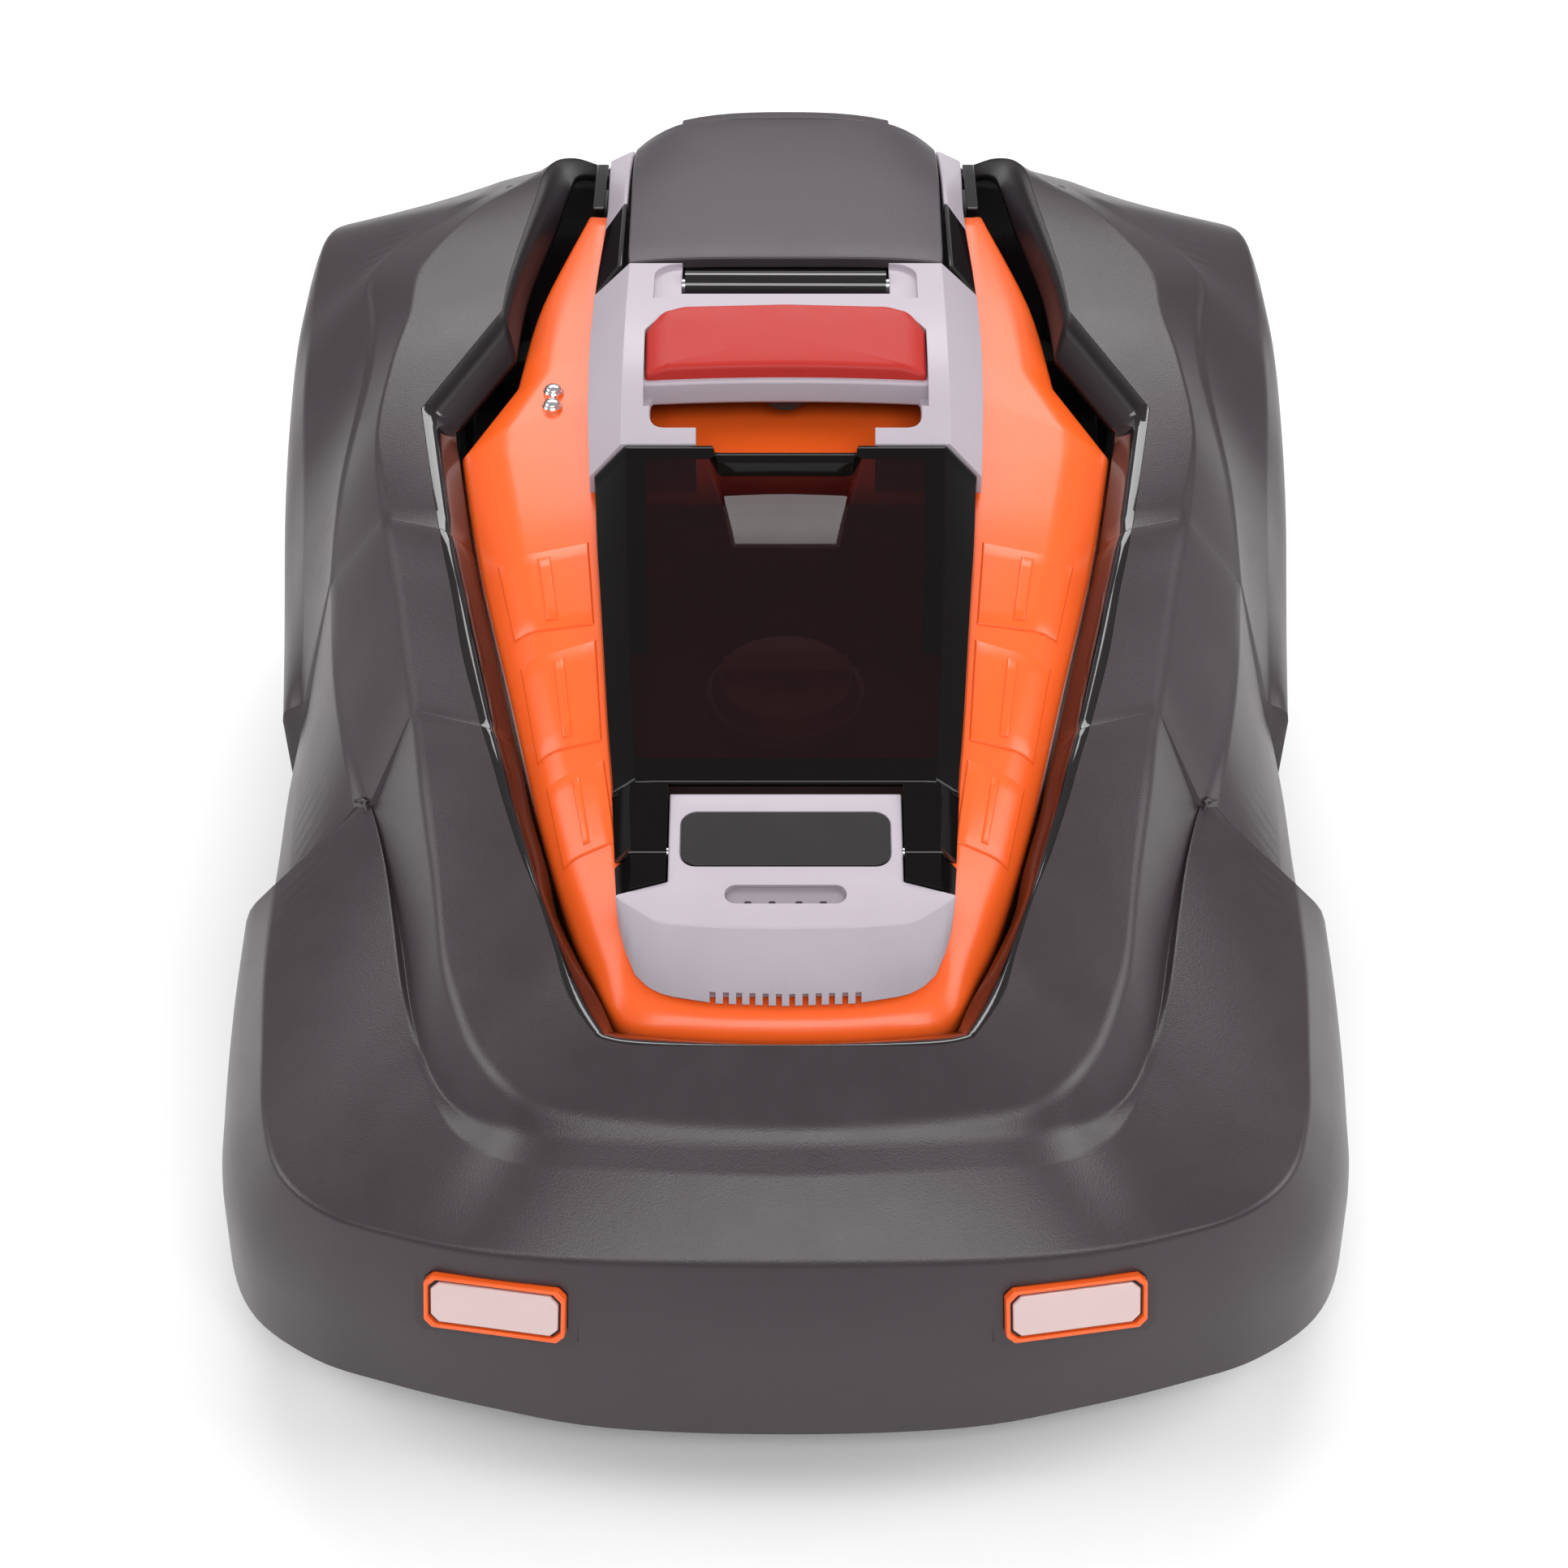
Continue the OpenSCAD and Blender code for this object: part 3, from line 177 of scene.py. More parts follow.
world = bpy.data.worlds.new("studio")
scene.world = world
world.use_nodes = True
background = world.node_tree.nodes["Background"]
background.inputs["Color"].default_value = (1, 1, 1, 1)
background.inputs["Strength"].default_value = 0.38


def soft_light(name, size, power, place, aim):
    data = bpy.data.lights.new(name, "AREA")
    data.shape = "RECTANGLE"
    data.size, data.size_y = size
    data.energy = power
    lamp = bpy.data.objects.new(name, data)
    scene.collection.objects.link(lamp)
    lamp.location = place
    lamp.rotation_euler = (Vector(aim) - Vector(place)).to_track_quat("-Z", "Y").to_euler()
    return lamp


soft_light("back", (3.0, 1.2), 66, (0.0, 2.2, 2.6), (0, 0, 0.1))
soft_light("right", (1.3, 1.3), 26, (2.0, -0.2, 1.5), (0, 0, 0.1))
soft_light("left", (1.3, 1.3), 22, (-2.0, -0.1, 1.5), (0, 0, 0.1))
soft_light("front", (2.4, 1.0), 50, (0.2, -2.3, 2.4), (0, -0.1, 0.0))

# ---------- mesh helpers ----------


def vec(p):
    return Vector(p) * MM


def spline(a, b, c, d, t):
    square = 2 * a - 5 * b + 4 * c - d
    cube = 3 * b - a - 3 * c + d
    return 0.5 * (2 * b + (c - a) * t + square * t * t + cube * t ** 3)


def refine(rows, steps, breaks=((),), ring=False, twins=()):
    """Adds rows along a smooth curve in each column.

    breaks lists, for each column, the rows with a sharp corner, and its last entry serves the columns
    that follow. A twin is a row whose next row lies in almost the same place.
    """
    n = len(rows)
    last = n if ring else n - 1
    out = []
    for i in range(last):
        i1 = (i + 1) % n
        back = (i - (2 if (i - 1) % n in twins else 1)) % n
        ahead = (i1 + (2 if i1 in twins else 1)) % n
        for s in range(steps):
            t = s / steps
            row = []
            for j in range(len(rows[0])):
                sharp = breaks[min(j, len(breaks) - 1)]
                before = i if (i in sharp or (not ring and i == 0)) else back
                after = i1 if (i1 in sharp or (not ring and i == last - 1)) else ahead
                if i in twins:
                    row.append(rows[i][j].lerp(rows[i1][j], t))
                else:
                    row.append(spline(rows[before][j], rows[i][j], rows[i1][j], rows[after][j], t))
            out.append(row)
    if not ring:
        out.append(list(rows[-1]))
    return out


def rounded(points, radii, seg=4):
    """Rounds the corners of a polyline. radii has one value, in mm, for each inner point."""
    out = [points[0]]
    for i in range(1, len(points) - 1):
        p = points[i]
        a = points[i - 1] - p
        b = points[i + 1] - p
        r = radii[i - 1] * MM
        ra = min(r, a.length * 0.46)
        rb = min(r, b.length * 0.46)
        if r == 0 or a.length < 1e-6 or b.length < 1e-6:
            out += [p.copy() for _ in range(seg + 1)]
            continue
        pa = p + a.normalized() * ra
        pb = p + b.normalized() * rb
        for k in range(seg + 1):
            t = k / seg
            out.append(pa * (1 - t) ** 2 + p * 2 * t * (1 - t) + pb * t ** 2)
    out.append(points[-1])
    return out


def link(name, mesh, material, angle=40):
    mesh.validate()
    mesh.update()
    obj = bpy.data.objects.new(name, mesh)
    scene.collection.objects.link(obj)
    mesh.materials.append(material)
    for p in mesh.polygons:
        p.use_smooth = True
    mesh.set_sharp_from_angle(angle=math.radians(angle))
    return obj


def grid_object(name, rows, material, ring=False, wrap=False, angle=40, flip=False):
    """A surface over a grid of points. ring joins the last row to the first, wrap the columns."""
    n, m = len(rows), len(rows[0])
    verts = [p for r in rows for p in r]
    faces = []
    for i in range(n if ring else n - 1):
        for j in range(m if wrap else m - 1):
            a, b = i * m + j, i * m + (j + 1) % m
            c, d = ((i + 1) % n) * m + (j + 1) % m, ((i + 1) % n) * m + j
            faces.append((a, b, c, d) if not flip else (a, d, c, b))
    mesh = bpy.data.meshes.new(name)
    mesh.from_pydata(verts, [], faces)
    bm = bmesh.new()
    bm.from_mesh(mesh)
    bmesh.ops.remove_doubles(bm, verts=bm.verts, dist=2e-6)
    bm.to_mesh(mesh)
    bm.free()
    return link(name, mesh, material, angle)


def thicken(obj, t, offset=-1):
    mod = obj.modifiers.new("wall", "SOLIDIFY")
    mod.thickness = t * MM
    mod.offset = offset
    mod.use_even_offset = False
    return obj


def apply_all(obj):
    """Turns an object's modifiers into its mesh."""
    graph = bpy.context.evaluated_depsgraph_get()
    graph.update()
    mesh = bpy.data.meshes.new_from_object(obj.evaluated_get(graph))
    old = obj.data
    obj.modifiers.clear()
    obj.data = mesh
    bpy.data.meshes.remove(old)
    return obj


def cut(obj, cutter, operation="DIFFERENCE"):
    mod = obj.modifiers.new("cut", "BOOLEAN")
    mod.object = cutter
    mod.operation = operation
    mod.solver = "EXACT"
    apply_all(obj)
    bpy.data.objects.remove(cutter)
    obj.data.set_sharp_from_angle(angle=math.radians(28))
    return obj


def soften(obj, width, segments=3, angle=35):
    """Rounds the sharp edges, as a moulded part has them."""
    mod = obj.modifiers.new("soft_edges", "BEVEL")
    mod.width = width * MM
    mod.segments = segments
    mod.limit_method = "ANGLE"
    mod.angle_limit = math.radians(angle)
    mod.harden_normals = False
    even = obj.modifiers.new("even_shading", "WEIGHTED_NORMAL")
    even.keep_sharp = True
    return obj


def skin(name, sections, material, angle=40, caps=True):
    """A solid over closed sections with the same number of points."""
    n, m = len(sections), len(sections[0])
    verts = [p for s in sections for p in s]
    faces = [(i * m + j, i * m + (j + 1) % m, (i + 1) * m + (j + 1) % m, (i + 1) * m + j)
             for i in range(n - 1) for j in range(m)]
    if caps:
        faces.append(tuple(reversed(range(m))))
        faces.append(tuple((n - 1) * m + j for j in range(m)))
    mesh = bpy.data.meshes.new(name)
    mesh.from_pydata(verts, [], faces)
    bm = bmesh.new()
    bm.from_mesh(mesh)
    bmesh.ops.recalc_face_normals(bm, faces=bm.faces)
    bm.to_mesh(mesh)
    bm.free()
    return link(name, mesh, material, angle)


def plate(name, outline, depth, material, angle=30):
    """A flat outline in X, Y, drawn up by depth."""
    bottom = [Vector((x, y, 0)) * MM for x, y in outline]
    top = [p + Vector((0, 0, depth * MM)) for p in bottom]
    return skin(name, [bottom, top], material, angle)


def round_rect(w, d, r, seg=6):
    out = []
    for cx, cy, a0 in ((w / 2 - r, d / 2 - r, 0), (-w / 2 + r, d / 2 - r, 90),
                       (-w / 2 + r, -d / 2 + r, 180), (w / 2 - r, -d / 2 + r, 270)):
        for k in range(seg + 1):
            a = math.radians(a0 + 90 * k / seg)
            out.append((cx + r * math.cos(a), cy + r * math.sin(a)))
    return out


def mirrored(points):
    return [Vector((-p.x, p.y, p.z)) for p in points]


def place(obj, location=(0, 0, 0), turn=(0, 0, 0)):
    """Moves a piece's mesh, with angles in degrees, X first."""
    rx, ry, rz = (math.radians(a) for a in turn)
    m = (Matrix.Translation(Vector(location) * MM) @ Matrix.Rotation(rz, 4, "Z")
         @ Matrix.Rotation(ry, 4, "Y") @ Matrix.Rotation(rx, 4, "X"))
    obj.data.transform(m)
    return obj


def join(name, objects):
    """Makes one object of several, keeping each one's materials."""
    for o in objects:
        if o.modifiers:
            apply_all(o)
    bpy.ops.object.select_all(action="DESELECT")
    for o in objects:
        o.select_set(True)
    bpy.context.view_layer.objects.active = objects[0]
    if len(objects) > 1:
        bpy.ops.object.join()
    objects[0].name = name
    return objects[0]


def finish_piece(obj, body, slot, *stands_for):
    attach(obj, body)
    if stands_for:
        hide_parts(*stands_for)
    return obj


def rounded_outline(points, radius, seg=5):
    """Rounds the corners of a closed outline in X, Y."""
    out = []
    n = len(points)
    for i in range(n):
        p, a, b = (Vector(points[k % n]) for k in (i, i - 1, i + 1))
        r = min(radius, (a - p).length * 0.45, (b - p).length * 0.45)
        pa = p + (a - p).normalized() * r
        pb = p + (b - p).normalized() * r
        for k in range(seg + 1):
            t = k / seg
            q = pa * (1 - t) ** 2 + p * 2 * t * (1 - t) + pb * t ** 2
            out.append((q.x, q.y))
    return out

# ---------- outer shell ----------

# Stations on the left side, from the middle of the nose round to the middle of the tail: the gloss
# trim's heading, how far it reaches in and drops, and seven points from the opening to the hem:
# opening edge, collar edge, foot of the collar, wing edge, shoulder crease, belt, hem.
STATIONS = [
    [[90, 10.4, 9.5], [[0, -234, 157], [0, -263, 145], [0, -267, 141], [0, -277, 135],
                [0, -301, 115], [0, -313, 80], [0, -315, 37]]],
    [[90, 15.4, 9.5], [[52, -233.5, 157], [55, -260, 146], [57, -265, 141], [60, -274, 135],
                [64, -300, 115], [65, -310, 80], [66, -312, 37]]],
    [[68.5, 14.6, 9.5], [[68.5, -229.5, 157], [88, -254, 147], [92, -260, 139], [97, -268, 133],
                [106, -296, 115], [110, -303, 82], [112, -302, 37]]],
    [[29, 13.9, 9.5], [[80, -211, 160], [104, -243, 149], [110, -250, 134], [120, -250, 128],
                [140, -288, 116], [147, -293, 84], [149, -291, 37]]],
    [[23.6, 10.3, 11], [[86, -191, 165], [115, -227, 150], [124, -236, 130], [133, -227, 130],
                [166, -279, 118], [175, -282, 86], [177, -280, 37]]],
    [[17, 8.4, 13], [[93.5, -169, 172], [123, -207, 154], [134, -217, 132], [141, -204, 134],
                [184, -262, 120], [200, -263, 90], [202, -260, 37]]],
    [[17, 9.9, 12], [[101, -150, 177], [129, -187, 159], [141, -194, 134], [147, -178, 138],
                [193, -236, 122], [213, -234, 92], [215, -232, 37]]],
    [[17, 10.6, 12], [[108.5, -128, 184], [135, -150, 170], [148, -158, 137], [153, -145, 141],
               [198, -200, 124], [218, -194, 92], [220, -195, 37]]],
    [[14, 11.8, 13], [[114, -110, 190], [142, -112, 182], [157, -122, 141], [159, -115, 145],
               [203, -155, 124], [221, -150, 96], [222, -152, 38]]],
    [[14, 12.9, 13], [[118.8, -95, 194], [147, -80, 190], [165.5, -92, 148.2], [167, -87, 150.2],
                [206, -108, 122], [220, -111, 108], [222, -104, 38]]],
    [[14, 12.9, 13], [[119, -94.5, 194], [147.2, -79.5, 190], [167.5, -91.7, 148.8], [173, -88, 147],
                [202, -104, 114], [212, -106, 101], [215, -99, 39]]],
    [[13.8, 14, 12.3], [[128, -62, 203], [153, -48, 199], [178, -60, 161], [181, -58, 159],
               [205, -64, 114], [213, -66, 98], [216, -62, 40]]],
    [[13.8, 12.8, 13.3], [[134, -33, 211], [158, -20, 208], [184, -28, 171], [187, -27, 168],
               [206, -28, 118], [214, -28, 98], [217, -27, 42]]],
    [[10.5, 12.9, 15.2], [[141.5, 0, 221], [165, 12, 218], [189, 11, 186], [191, 12, 183],
               [205, 12, 126], [213, 12, 100], [216, 12, 45]]],
    [[10.5, 12.9, 15.2], [[141.8, 0.8, 221], [165.2, 12.8, 218], [189.2, 11.8, 186],
               [191.5, 12.8, 183.5], [209, 13.5, 119], [218, 13.5, 115], [219, 14, 109]]],
    [[4, 13.5, 13], [[154, 68, 235], [172, 56, 230], [187, 54, 208], [190, 54, 205],
                  [209, 52, 165], [221, 50, 130], [222, 52, 116]]],
    [[-29.4, 11.3, 14.8], [[138.5, 95, 242.5], [169, 96, 240], [180, 102, 228], [183.5, 101, 226],
                   [211, 92, 190], [222, 91, 169], [222, 92, 155]]],
    [[-62.7, 13.5, 16.7], [[123, 122, 250], [164, 128, 245.5], [180, 138, 235], [183.5, 136, 233.5],
                   [213, 129, 210], [222, 132, 194], [222, 132, 180]]],
    [[-7, 7, 14], [[121, 152, 252.5], [161, 163, 249], [182.5, 175, 240], [186, 173, 238.5],
                   [214, 171, 218], [221, 171, 211], [222, 171, 188]]],
    [[-6, 9, 14], [[113.5, 205, 257.5], [141.4, 202, 253], [152.5, 208, 247.5], [158.5, 210, 246],
                   [214, 222, 226], [218, 222, 216], [221, 214, 178]]],
    [[-8, 9, 12], [[109, 236, 258], [120.6, 231, 252.5], [133.3, 232, 247.5], [141.5, 231, 246],
                   [206, 252, 219], [213, 250, 206], [219, 245, 142]]],
    [[-30, 3, 8], [[99, 264, 247], [109, 268, 240], [128, 277, 230], [134, 279, 227],
                   [188, 281, 201], [200, 281, 188], [208, 270, 92]]],
    [[-55, 2, 5], [[80, 284, 230], [91, 289, 225], [105, 293, 220], [110, 294, 217],
                   [150, 301, 188], [160, 303, 175], [172, 298, 46]]],
    [[-85, 2, 5], [[45, 290, 225], [52, 294, 221], [58, 297, 218], [60, 298, 216],
                   [80, 309, 182], [85, 312, 170], [92, 312, 40]]],
    [[-90, 2, 5], [[0, 291, 224], [0, 295, 220], [0, 298, 217], [0, 299, 215],
                   [0, 311, 180], [0, 315, 168], [0, 315, 38]]],
]


def both(breaks):
    """Row numbers on the left side, and their mirror images on the right."""
    return breaks + [2 * len(STATIONS) - 2 - i for i in breaks]


OPENING = both([2, 15, 17])
SHARP = both([9, 10, 13, 14])
TWINS = [9, 13] + [2 * len(STATIONS) - 2 - i for i in (10, 14)]


def around(rows):
    """The left side's rows, then the right side's in mirror image, once around the machine."""
    return rows + [mirrored(r) for r in reversed(rows[1:-1])]


def heading(a):
    return Vector((-math.cos(math.radians(a)), math.sin(math.radians(a)), 0))


STEPS = 6
shell_rows = around([[vec(p) for p in s[1]] for s in STATIONS])
shell_rows = refine(shell_rows, STEPS, [OPENING, (), (), SHARP], True, TWINS)
# radius, in mm, of the rounding at the collar edge, its foot, the wing edge, the shoulder and the belt,
# along the nose and on the fenders
NOSE_RADII = (4, 3, 1.2, 2.2, 20)
FENDER_RADII = (1.5, 2, 1.5, 2.5, 16)


def radii(row):
    station = row / STEPS
    station = min(station, 2 * len(STATIONS) - 2 - station)
    share = min(1, max(0, station - 14))
    return [a + (b - a) * share for a, b in zip(NOSE_RADII, FENDER_RADII)]


shell_rows = [rounded(r, radii(i)) for i, r in enumerate(shell_rows)]
shell = grid_object("shell_skin", shell_rows, M["shell"], ring=True, angle=24)
thicken(shell, 3)
apply_all(shell)


def at_reflector(obj, side):
    place(obj, turn=(-15, 0, 0))
    place(obj, turn=(0, 0, 9.5))
    place(obj, (104, -300.4, 92.8))
    if side < 0:
        obj.data.transform(Matrix.Scale(-1, 4, (1, 0, 0)))
        obj.data.flip_normals()
    return obj


def reflector_outline(w, h):
    x, z = w / 2, h / 2
    c = 3
    return [(-x + c, -z), (x - c, -z), (x, -z + c), (x, z - c), (x - c, z), (-x + c, z), (-x, z - c),
            (-x, -z + c)]


def reflector_block(name, w, h, y0, y1, material):
    back = [Vector((x, y1, z)) * MM for x, z in reflector_outline(w, h)]
    face = [Vector((x, y0, z)) * MM for x, z in reflector_outline(w, h)]
    return skin(name, [back, face], material, 30)


for side in (1, -1):
    cut(shell, at_reflector(reflector_block("pocket", 53, 23, -9, 0, M["shell"]), side))
shell.data.set_sharp_from_angle(angle=math.radians(24))
parts = [shell]
for side in (1, -1):
    parts.append(at_reflector(reflector_block("pad", 60, 30, 0, 3.8, M["shell"]), side))
    for x, y, foot, top in ((127, -118, 112, 181.5), (125, 229, 146, 250)):
        ring = [(math.cos(k * math.pi / 12), math.sin(k * math.pi / 12)) for k in range(24)]
        levels = ((6.5, foot), (6.5, foot + 6), (4, foot + 6), (4, top))
        parts.append(skin("post", [[Vector((side * x + r * c, y + r * s, z)) * MM for c, s in ring]
                                   for r, z in levels], M["shell"], 30))
shell = join("shell_skin", parts)
finish_piece(shell, "outer_shell", "shell_plastic", "outer_shell")

frames, lenses = [], []
for side in (1, -1):
    frame_block = reflector_block("reflector_frame", 52, 22, -3.9, 0, M["orange"])
    cut(frame_block, reflector_block("hollow", 49, 19, -6, -1.8, M["orange"]))
    soften(frame_block, 0.5, 2, 30)
    frames.append(at_reflector(apply_all(frame_block), side))
    gap = reflector_block("reflector_gap", 48.6, 18.6, -2.2, -1.85, M["label"])
    frames.append(at_reflector(gap, side))
    lens = reflector_block("reflector_lens", 47, 17, -3.5, -2.0, M["lens"])
    soften(lens, 0.5, 2, 30)
    lenses.append(at_reflector(apply_all(lens), side))
finish_piece(join("reflector_rims", frames), "outer_shell", "orange_gloss", "reflector_frames")
finish_piece(join("reflector_glasses", lenses), "outer_shell", "reflector_lens", "reflector_lenses")

# gloss trim along the shell's opening, satin behind the scoops' corners
SCOOP = (15, 16, 17)
SATIN_FROM = 0.071
# room between the trim and the cover's nose when the shell is pushed back
NOSE_GAP = 1.3
trim_rows = []
for station, ((turned, reach, drop), points) in enumerate(STATIONS):
    inward = heading(turned)
    start = vec(points[0]) + inward * 0.4 * MM
    down = Vector((0, 0, -MM))
    crown = 1 if station in SCOOP else 0.8
    if points[0][1] < -150:
        reach -= NOSE_GAP
    trim_rows.append([start,
                      start + (inward * reach * MM + down * drop * crown) * 0.5,
                      start + inward * reach * MM + down * drop,
                      start + inward * (reach - 0.3) * MM + down * (drop + 3)])
trim_rows = refine(around(trim_rows), STEPS, [OPENING], True, TWINS)
trim_rows = [rounded(r, (1.5, 0.8), 4) for r in trim_rows]
trim = grid_object("opening_trim", trim_rows, M["gloss"], ring=True, angle=40, flip=True)
thicken(trim, 1.2)
apply_all(trim)
trim.data.materials.append(M["side_black"])
for p in trim.data.polygons:
    if p.center.y > SATIN_FROM:
        p.material_index = 1
finish_piece(trim, "outer_shell", "gloss_black", "shell_trim")

# ---------- orange cover ----------

# heading and the points outer edge, shoulder, foot of the spine, inner rim, nose to tail
COVER = [
    [90, [[0, -218, 145], [0, -213, 151], [0, -205, 154], [0, -192, 156]]],
    [86, [[36, -216, 145], [34, -211, 151], [32, -203, 154], [28, -190, 156]]],
    [62, [[61, -210.5, 146], [56, -204, 153], [50, -196, 157], [40, -186, 160]]],
    [30, [[73, -189, 151], [68, -184, 160], [59, -181, 167], [48, -176, 168]]],
    [14, [[83, -166, 158], [77, -163, 168], [64, -162, 177], [54, -160, 177]]],
    [10, [[97, -120, 172], [88, -119, 183], [69, -118, 190], [59, -118, 190]]],
    [12, [[111, -64, 188], [99, -64, 199], [74, -64, 205], [64, -64, 205]]],
    [14, [[126, -3, 203], [111, -2, 214], [79, -1, 220], [69, -1, 220]]],
    [8, [[136.5, 53.5, 216.6], [119, 50, 224.4], [82, 38, 227.6], [72, 38, 227.6]]],
    [0, [[137, 57, 217.2], [119, 63, 227.2], [82, 80, 235.6], [72, 80, 235.6]]],
    [-30, [[116, 97, 226], [105, 98, 234], [83, 100, 238], [73, 100, 238]]],
    [-6, [[108, 150, 236], [100, 150, 240], [86, 150, 242], [76, 150, 242]]],
    [-4, [[90, 212, 244.5], [88, 210.5, 246], [85, 208, 247], [76, 208, 247]]],
]
cover_rows = []
for a, pts in reversed(COVER):
    p = [vec(q) for q in pts]
    cover_rows.append([p[0] - Vector((0, 0, 18 * MM))] + p)
n_cover = len(cover_rows)
cover_rows = cover_rows + [mirrored(r) for r in reversed(cover_rows[:-1])]
COVER_SHARP = [2, 3, 4] + [2 * n_cover - 2 - i for i in (2, 3, 4)]
cover_rows = refine(cover_rows, 6, [COVER_SHARP])
cover_rows = [rounded(r, (3, 5, 1.5)) for r in cover_rows]
cover = grid_object("cover_skin", cover_rows, M["orange"], angle=32)
thicken(cover, 2.4, -1)
apply_all(cover)
floor_rows = [[Vector((x, y, z)) * MM for x in (-68, -60, 0, 60, 68)]
              for y, z in ((14, 222.3), (36, 226.8), (60, 231.3), (80, 234.3), (100, 237.3), (131, 239.8))]
grip_floor = grid_object("grip_floor", floor_rows, M["orange"], flip=True)
thicken(grip_floor, 2.3, -1)
apply_all(grip_floor)


# raised pads on the cover's flanks: corners in X, Y, from the outer front one round to the inner front one
PADS = [[(109, -47), (118, -8), (80, -6), (76, -49)], [(97, -104), (106, -60), (75, -56), (71, -104)],
        [(85, -150), (93, -116), (70, -112), (64, -150)]]
above = Vector((0, 0, 0.4))
fall = Vector((0, 0, -1))
tree = BVHTree.FromObject(cover, bpy.context.evaluated_depsgraph_get())


def on_cover(x, y, lift):
    """The point lift mm above the cover's surface at x, y."""
    hit, normal, _, _ = tree.ray_cast(Vector((x * MM, y * MM, 0)) + above, fall)
    return hit + normal * lift * MM


def pad(name, corners, side, lift, soft=1.1):
    """A thin raised plate with soft edges that follows the cover."""
    a, b, c, d = (Vector(p) for p in corners)

    def shares(length):
        edge = soft / length
        inner = [edge * k / 3 for k in range(4)]
        return inner + [edge + (1 - 2 * edge) * k / 6 for k in range(1, 6)] + [1 - t for t in reversed(inner)]

    across, along = shares((a - d).length), shares((a - b).length)
    rows = []
    for v in along:
        row = []
        for u in across:
            p = a.lerp(d, u).lerp(b.lerp(c, u), v)
            near = min(min(u, 1 - u) * (a - d).length, min(v, 1 - v) * (a - b).length) / soft
            rise = 1 - (1 - min(1, near)) ** 2
            row.append(on_cover(side * p.x, p.y, -0.3 + (lift + 0.3) * rise))
        rows.append(row)
    return thicken(grid_object(name, rows, M["orange"], angle=50, flip=side > 0), 1.6)


pads = []
for side in (1, -1):
    for corners in PADS:
        pads.append(apply_all(pad("pad", corners, side, 0.8)))
        a, b, c, d = (Vector(p) for p in corners)
        corners = ((0.42, 0.1), (0.42, 0.9), (0.58, 0.9), (0.58, 0.1))
        rib = [a.lerp(d, s).lerp(b.lerp(c, s), t) for s, t in corners]
        pads.append(apply_all(pad("rib", rib, side, 1.5, 0.8)))
cover = join("cover_skin", [cover, grip_floor] + pads)
finish_piece(cover, "chassis", "orange_gloss", "orange_cover")

# ---------- centre frame: nose, cheeks, grip and tail ----------


def nose_z(y):
    """Height of the plate that carries the badge."""
    return 188.2 + (y + 155) * 0.24


def loop(half):
    """Closes a half outline, which starts on the middle line, with its mirror image."""
    return half + [(-p[0], *p[1:]) for p in reversed(half) if p[0] != 0]


def block(name, sections, material, angle=30):
    return skin(name, [[Vector(p) * MM for p in s] for s in sections], material, angle)


def prism(name, outline, z0, z1, material="grey"):
    return block(name, [[(x, y, z0) for x, y in outline], [(x, y, z1) for x, y in outline]], M[material])


def on_nose(obj, y=0, depth=0.0):
    """Lays a piece that was drawn flat at the origin on the nose plate."""
    place(obj, (0, y, depth))
    place(obj, turn=(13.5, 0, 0))
    return place(obj, (0, -155, 188.2))


nose_top = [(0, -194.2), (26, -193.7), (43, -192.4), (46.5, -191.9), (49, -190.9), (51.5, -189.3),
            (57, -185.4), (61, -182.6), (63.4, -180.4), (62.6, -179.6), (44, -174.1), (44, -134.7)]
nose_foot = [(0, -210.8, 154.2), (26, -209.6, 154.4), (42, -206.6, 155), (46, -205.4, 155.3),
             (49.5, -203.8, 156),
             (52, -202.4, 156.9), (55.8, -199, 158.6), (59.6, -191, 162.6), (62.2, -183, 166.4),
             (62, -180, 168), (44, -174.1, 170), (44, -134.7, 178)]
nose = block("nose", [loop(nose_foot), loop([(x, y, nose_z(y)) for x, y in nose_top])], M["grey"])
soften(nose, 1.9, 4, 33)
apply_all(nose)
bed = plate("bed", [(x, y + 0.8 * (1 - (x / 39) ** 2) * (1 if y > 0 else 0.6))
                    for x, y in round_rect(79.6, 25.4, 6.2)],
            8, M["grey"])
cut(nose, on_nose(bed, -0.4, -1.3))
cut(nose, on_nose(plate("slot", round_rect(45.4, 8.4, 4.1), 8, M["grey"]), -25.4, -2.2))
slits = [prism("slit", [(x - 1.1, -216), (x + 1.1, -216), (x + 1.1, -206.5), (x - 1.1, -206.5)], 150, 158.2)
         for x in [(i - 5.5) * 4.9 for i in range(12)]]
cut(nose, join("slits", slits))

# rails under the window's edges
rails = []
for side in (1, -1):
    rail = block("rail", [[(side * x, y, z) for x, z in ((a, b), (a + 3, b), (a + 3, b + 2), (a, b + 2))]
                          for y, a, b in ((-139, 53, 183.7), (-132, 54.6, 185.5), (-118, 60, 190.4),
                                          (-64, 65, 205.3), (-1, 70, 220.3), (22, 72, 225.6))], M["grey"])
    rails.append(rail)

# handle: one block with the finger gap, the button's pocket and the hinge's recess cut out of it
HANDLE = [[[19, 225.4, 249.5, 80.6]], [[42, 229.6, 262, 81.8]], [[62, 233, 267.6, 82.4]],
          [[88, 237, 269.8, 83]],
          [[129.5, 241.8, 269.2, 83]]]
handle_sections = []
for y, z0, z1, w in [r[0] for r in HANDLE]:
    handle_sections.append([Vector(p) for p in ((-w, y, z0), (w, y, z0), (w, y, z1 - 16), (67.2, y, z1),
                                                (-67.2, y, z1), (-w, y, z1 - 16))])
handle = block("handle", refine(handle_sections, 5), M["grey"])
front_gap = rounded_outline([(-55.8, 25.6), (-55.8, 49), (55.8, 49), (55.8, 25.6)], 6)
cut(handle, prism("gap", front_gap, 200, 300))
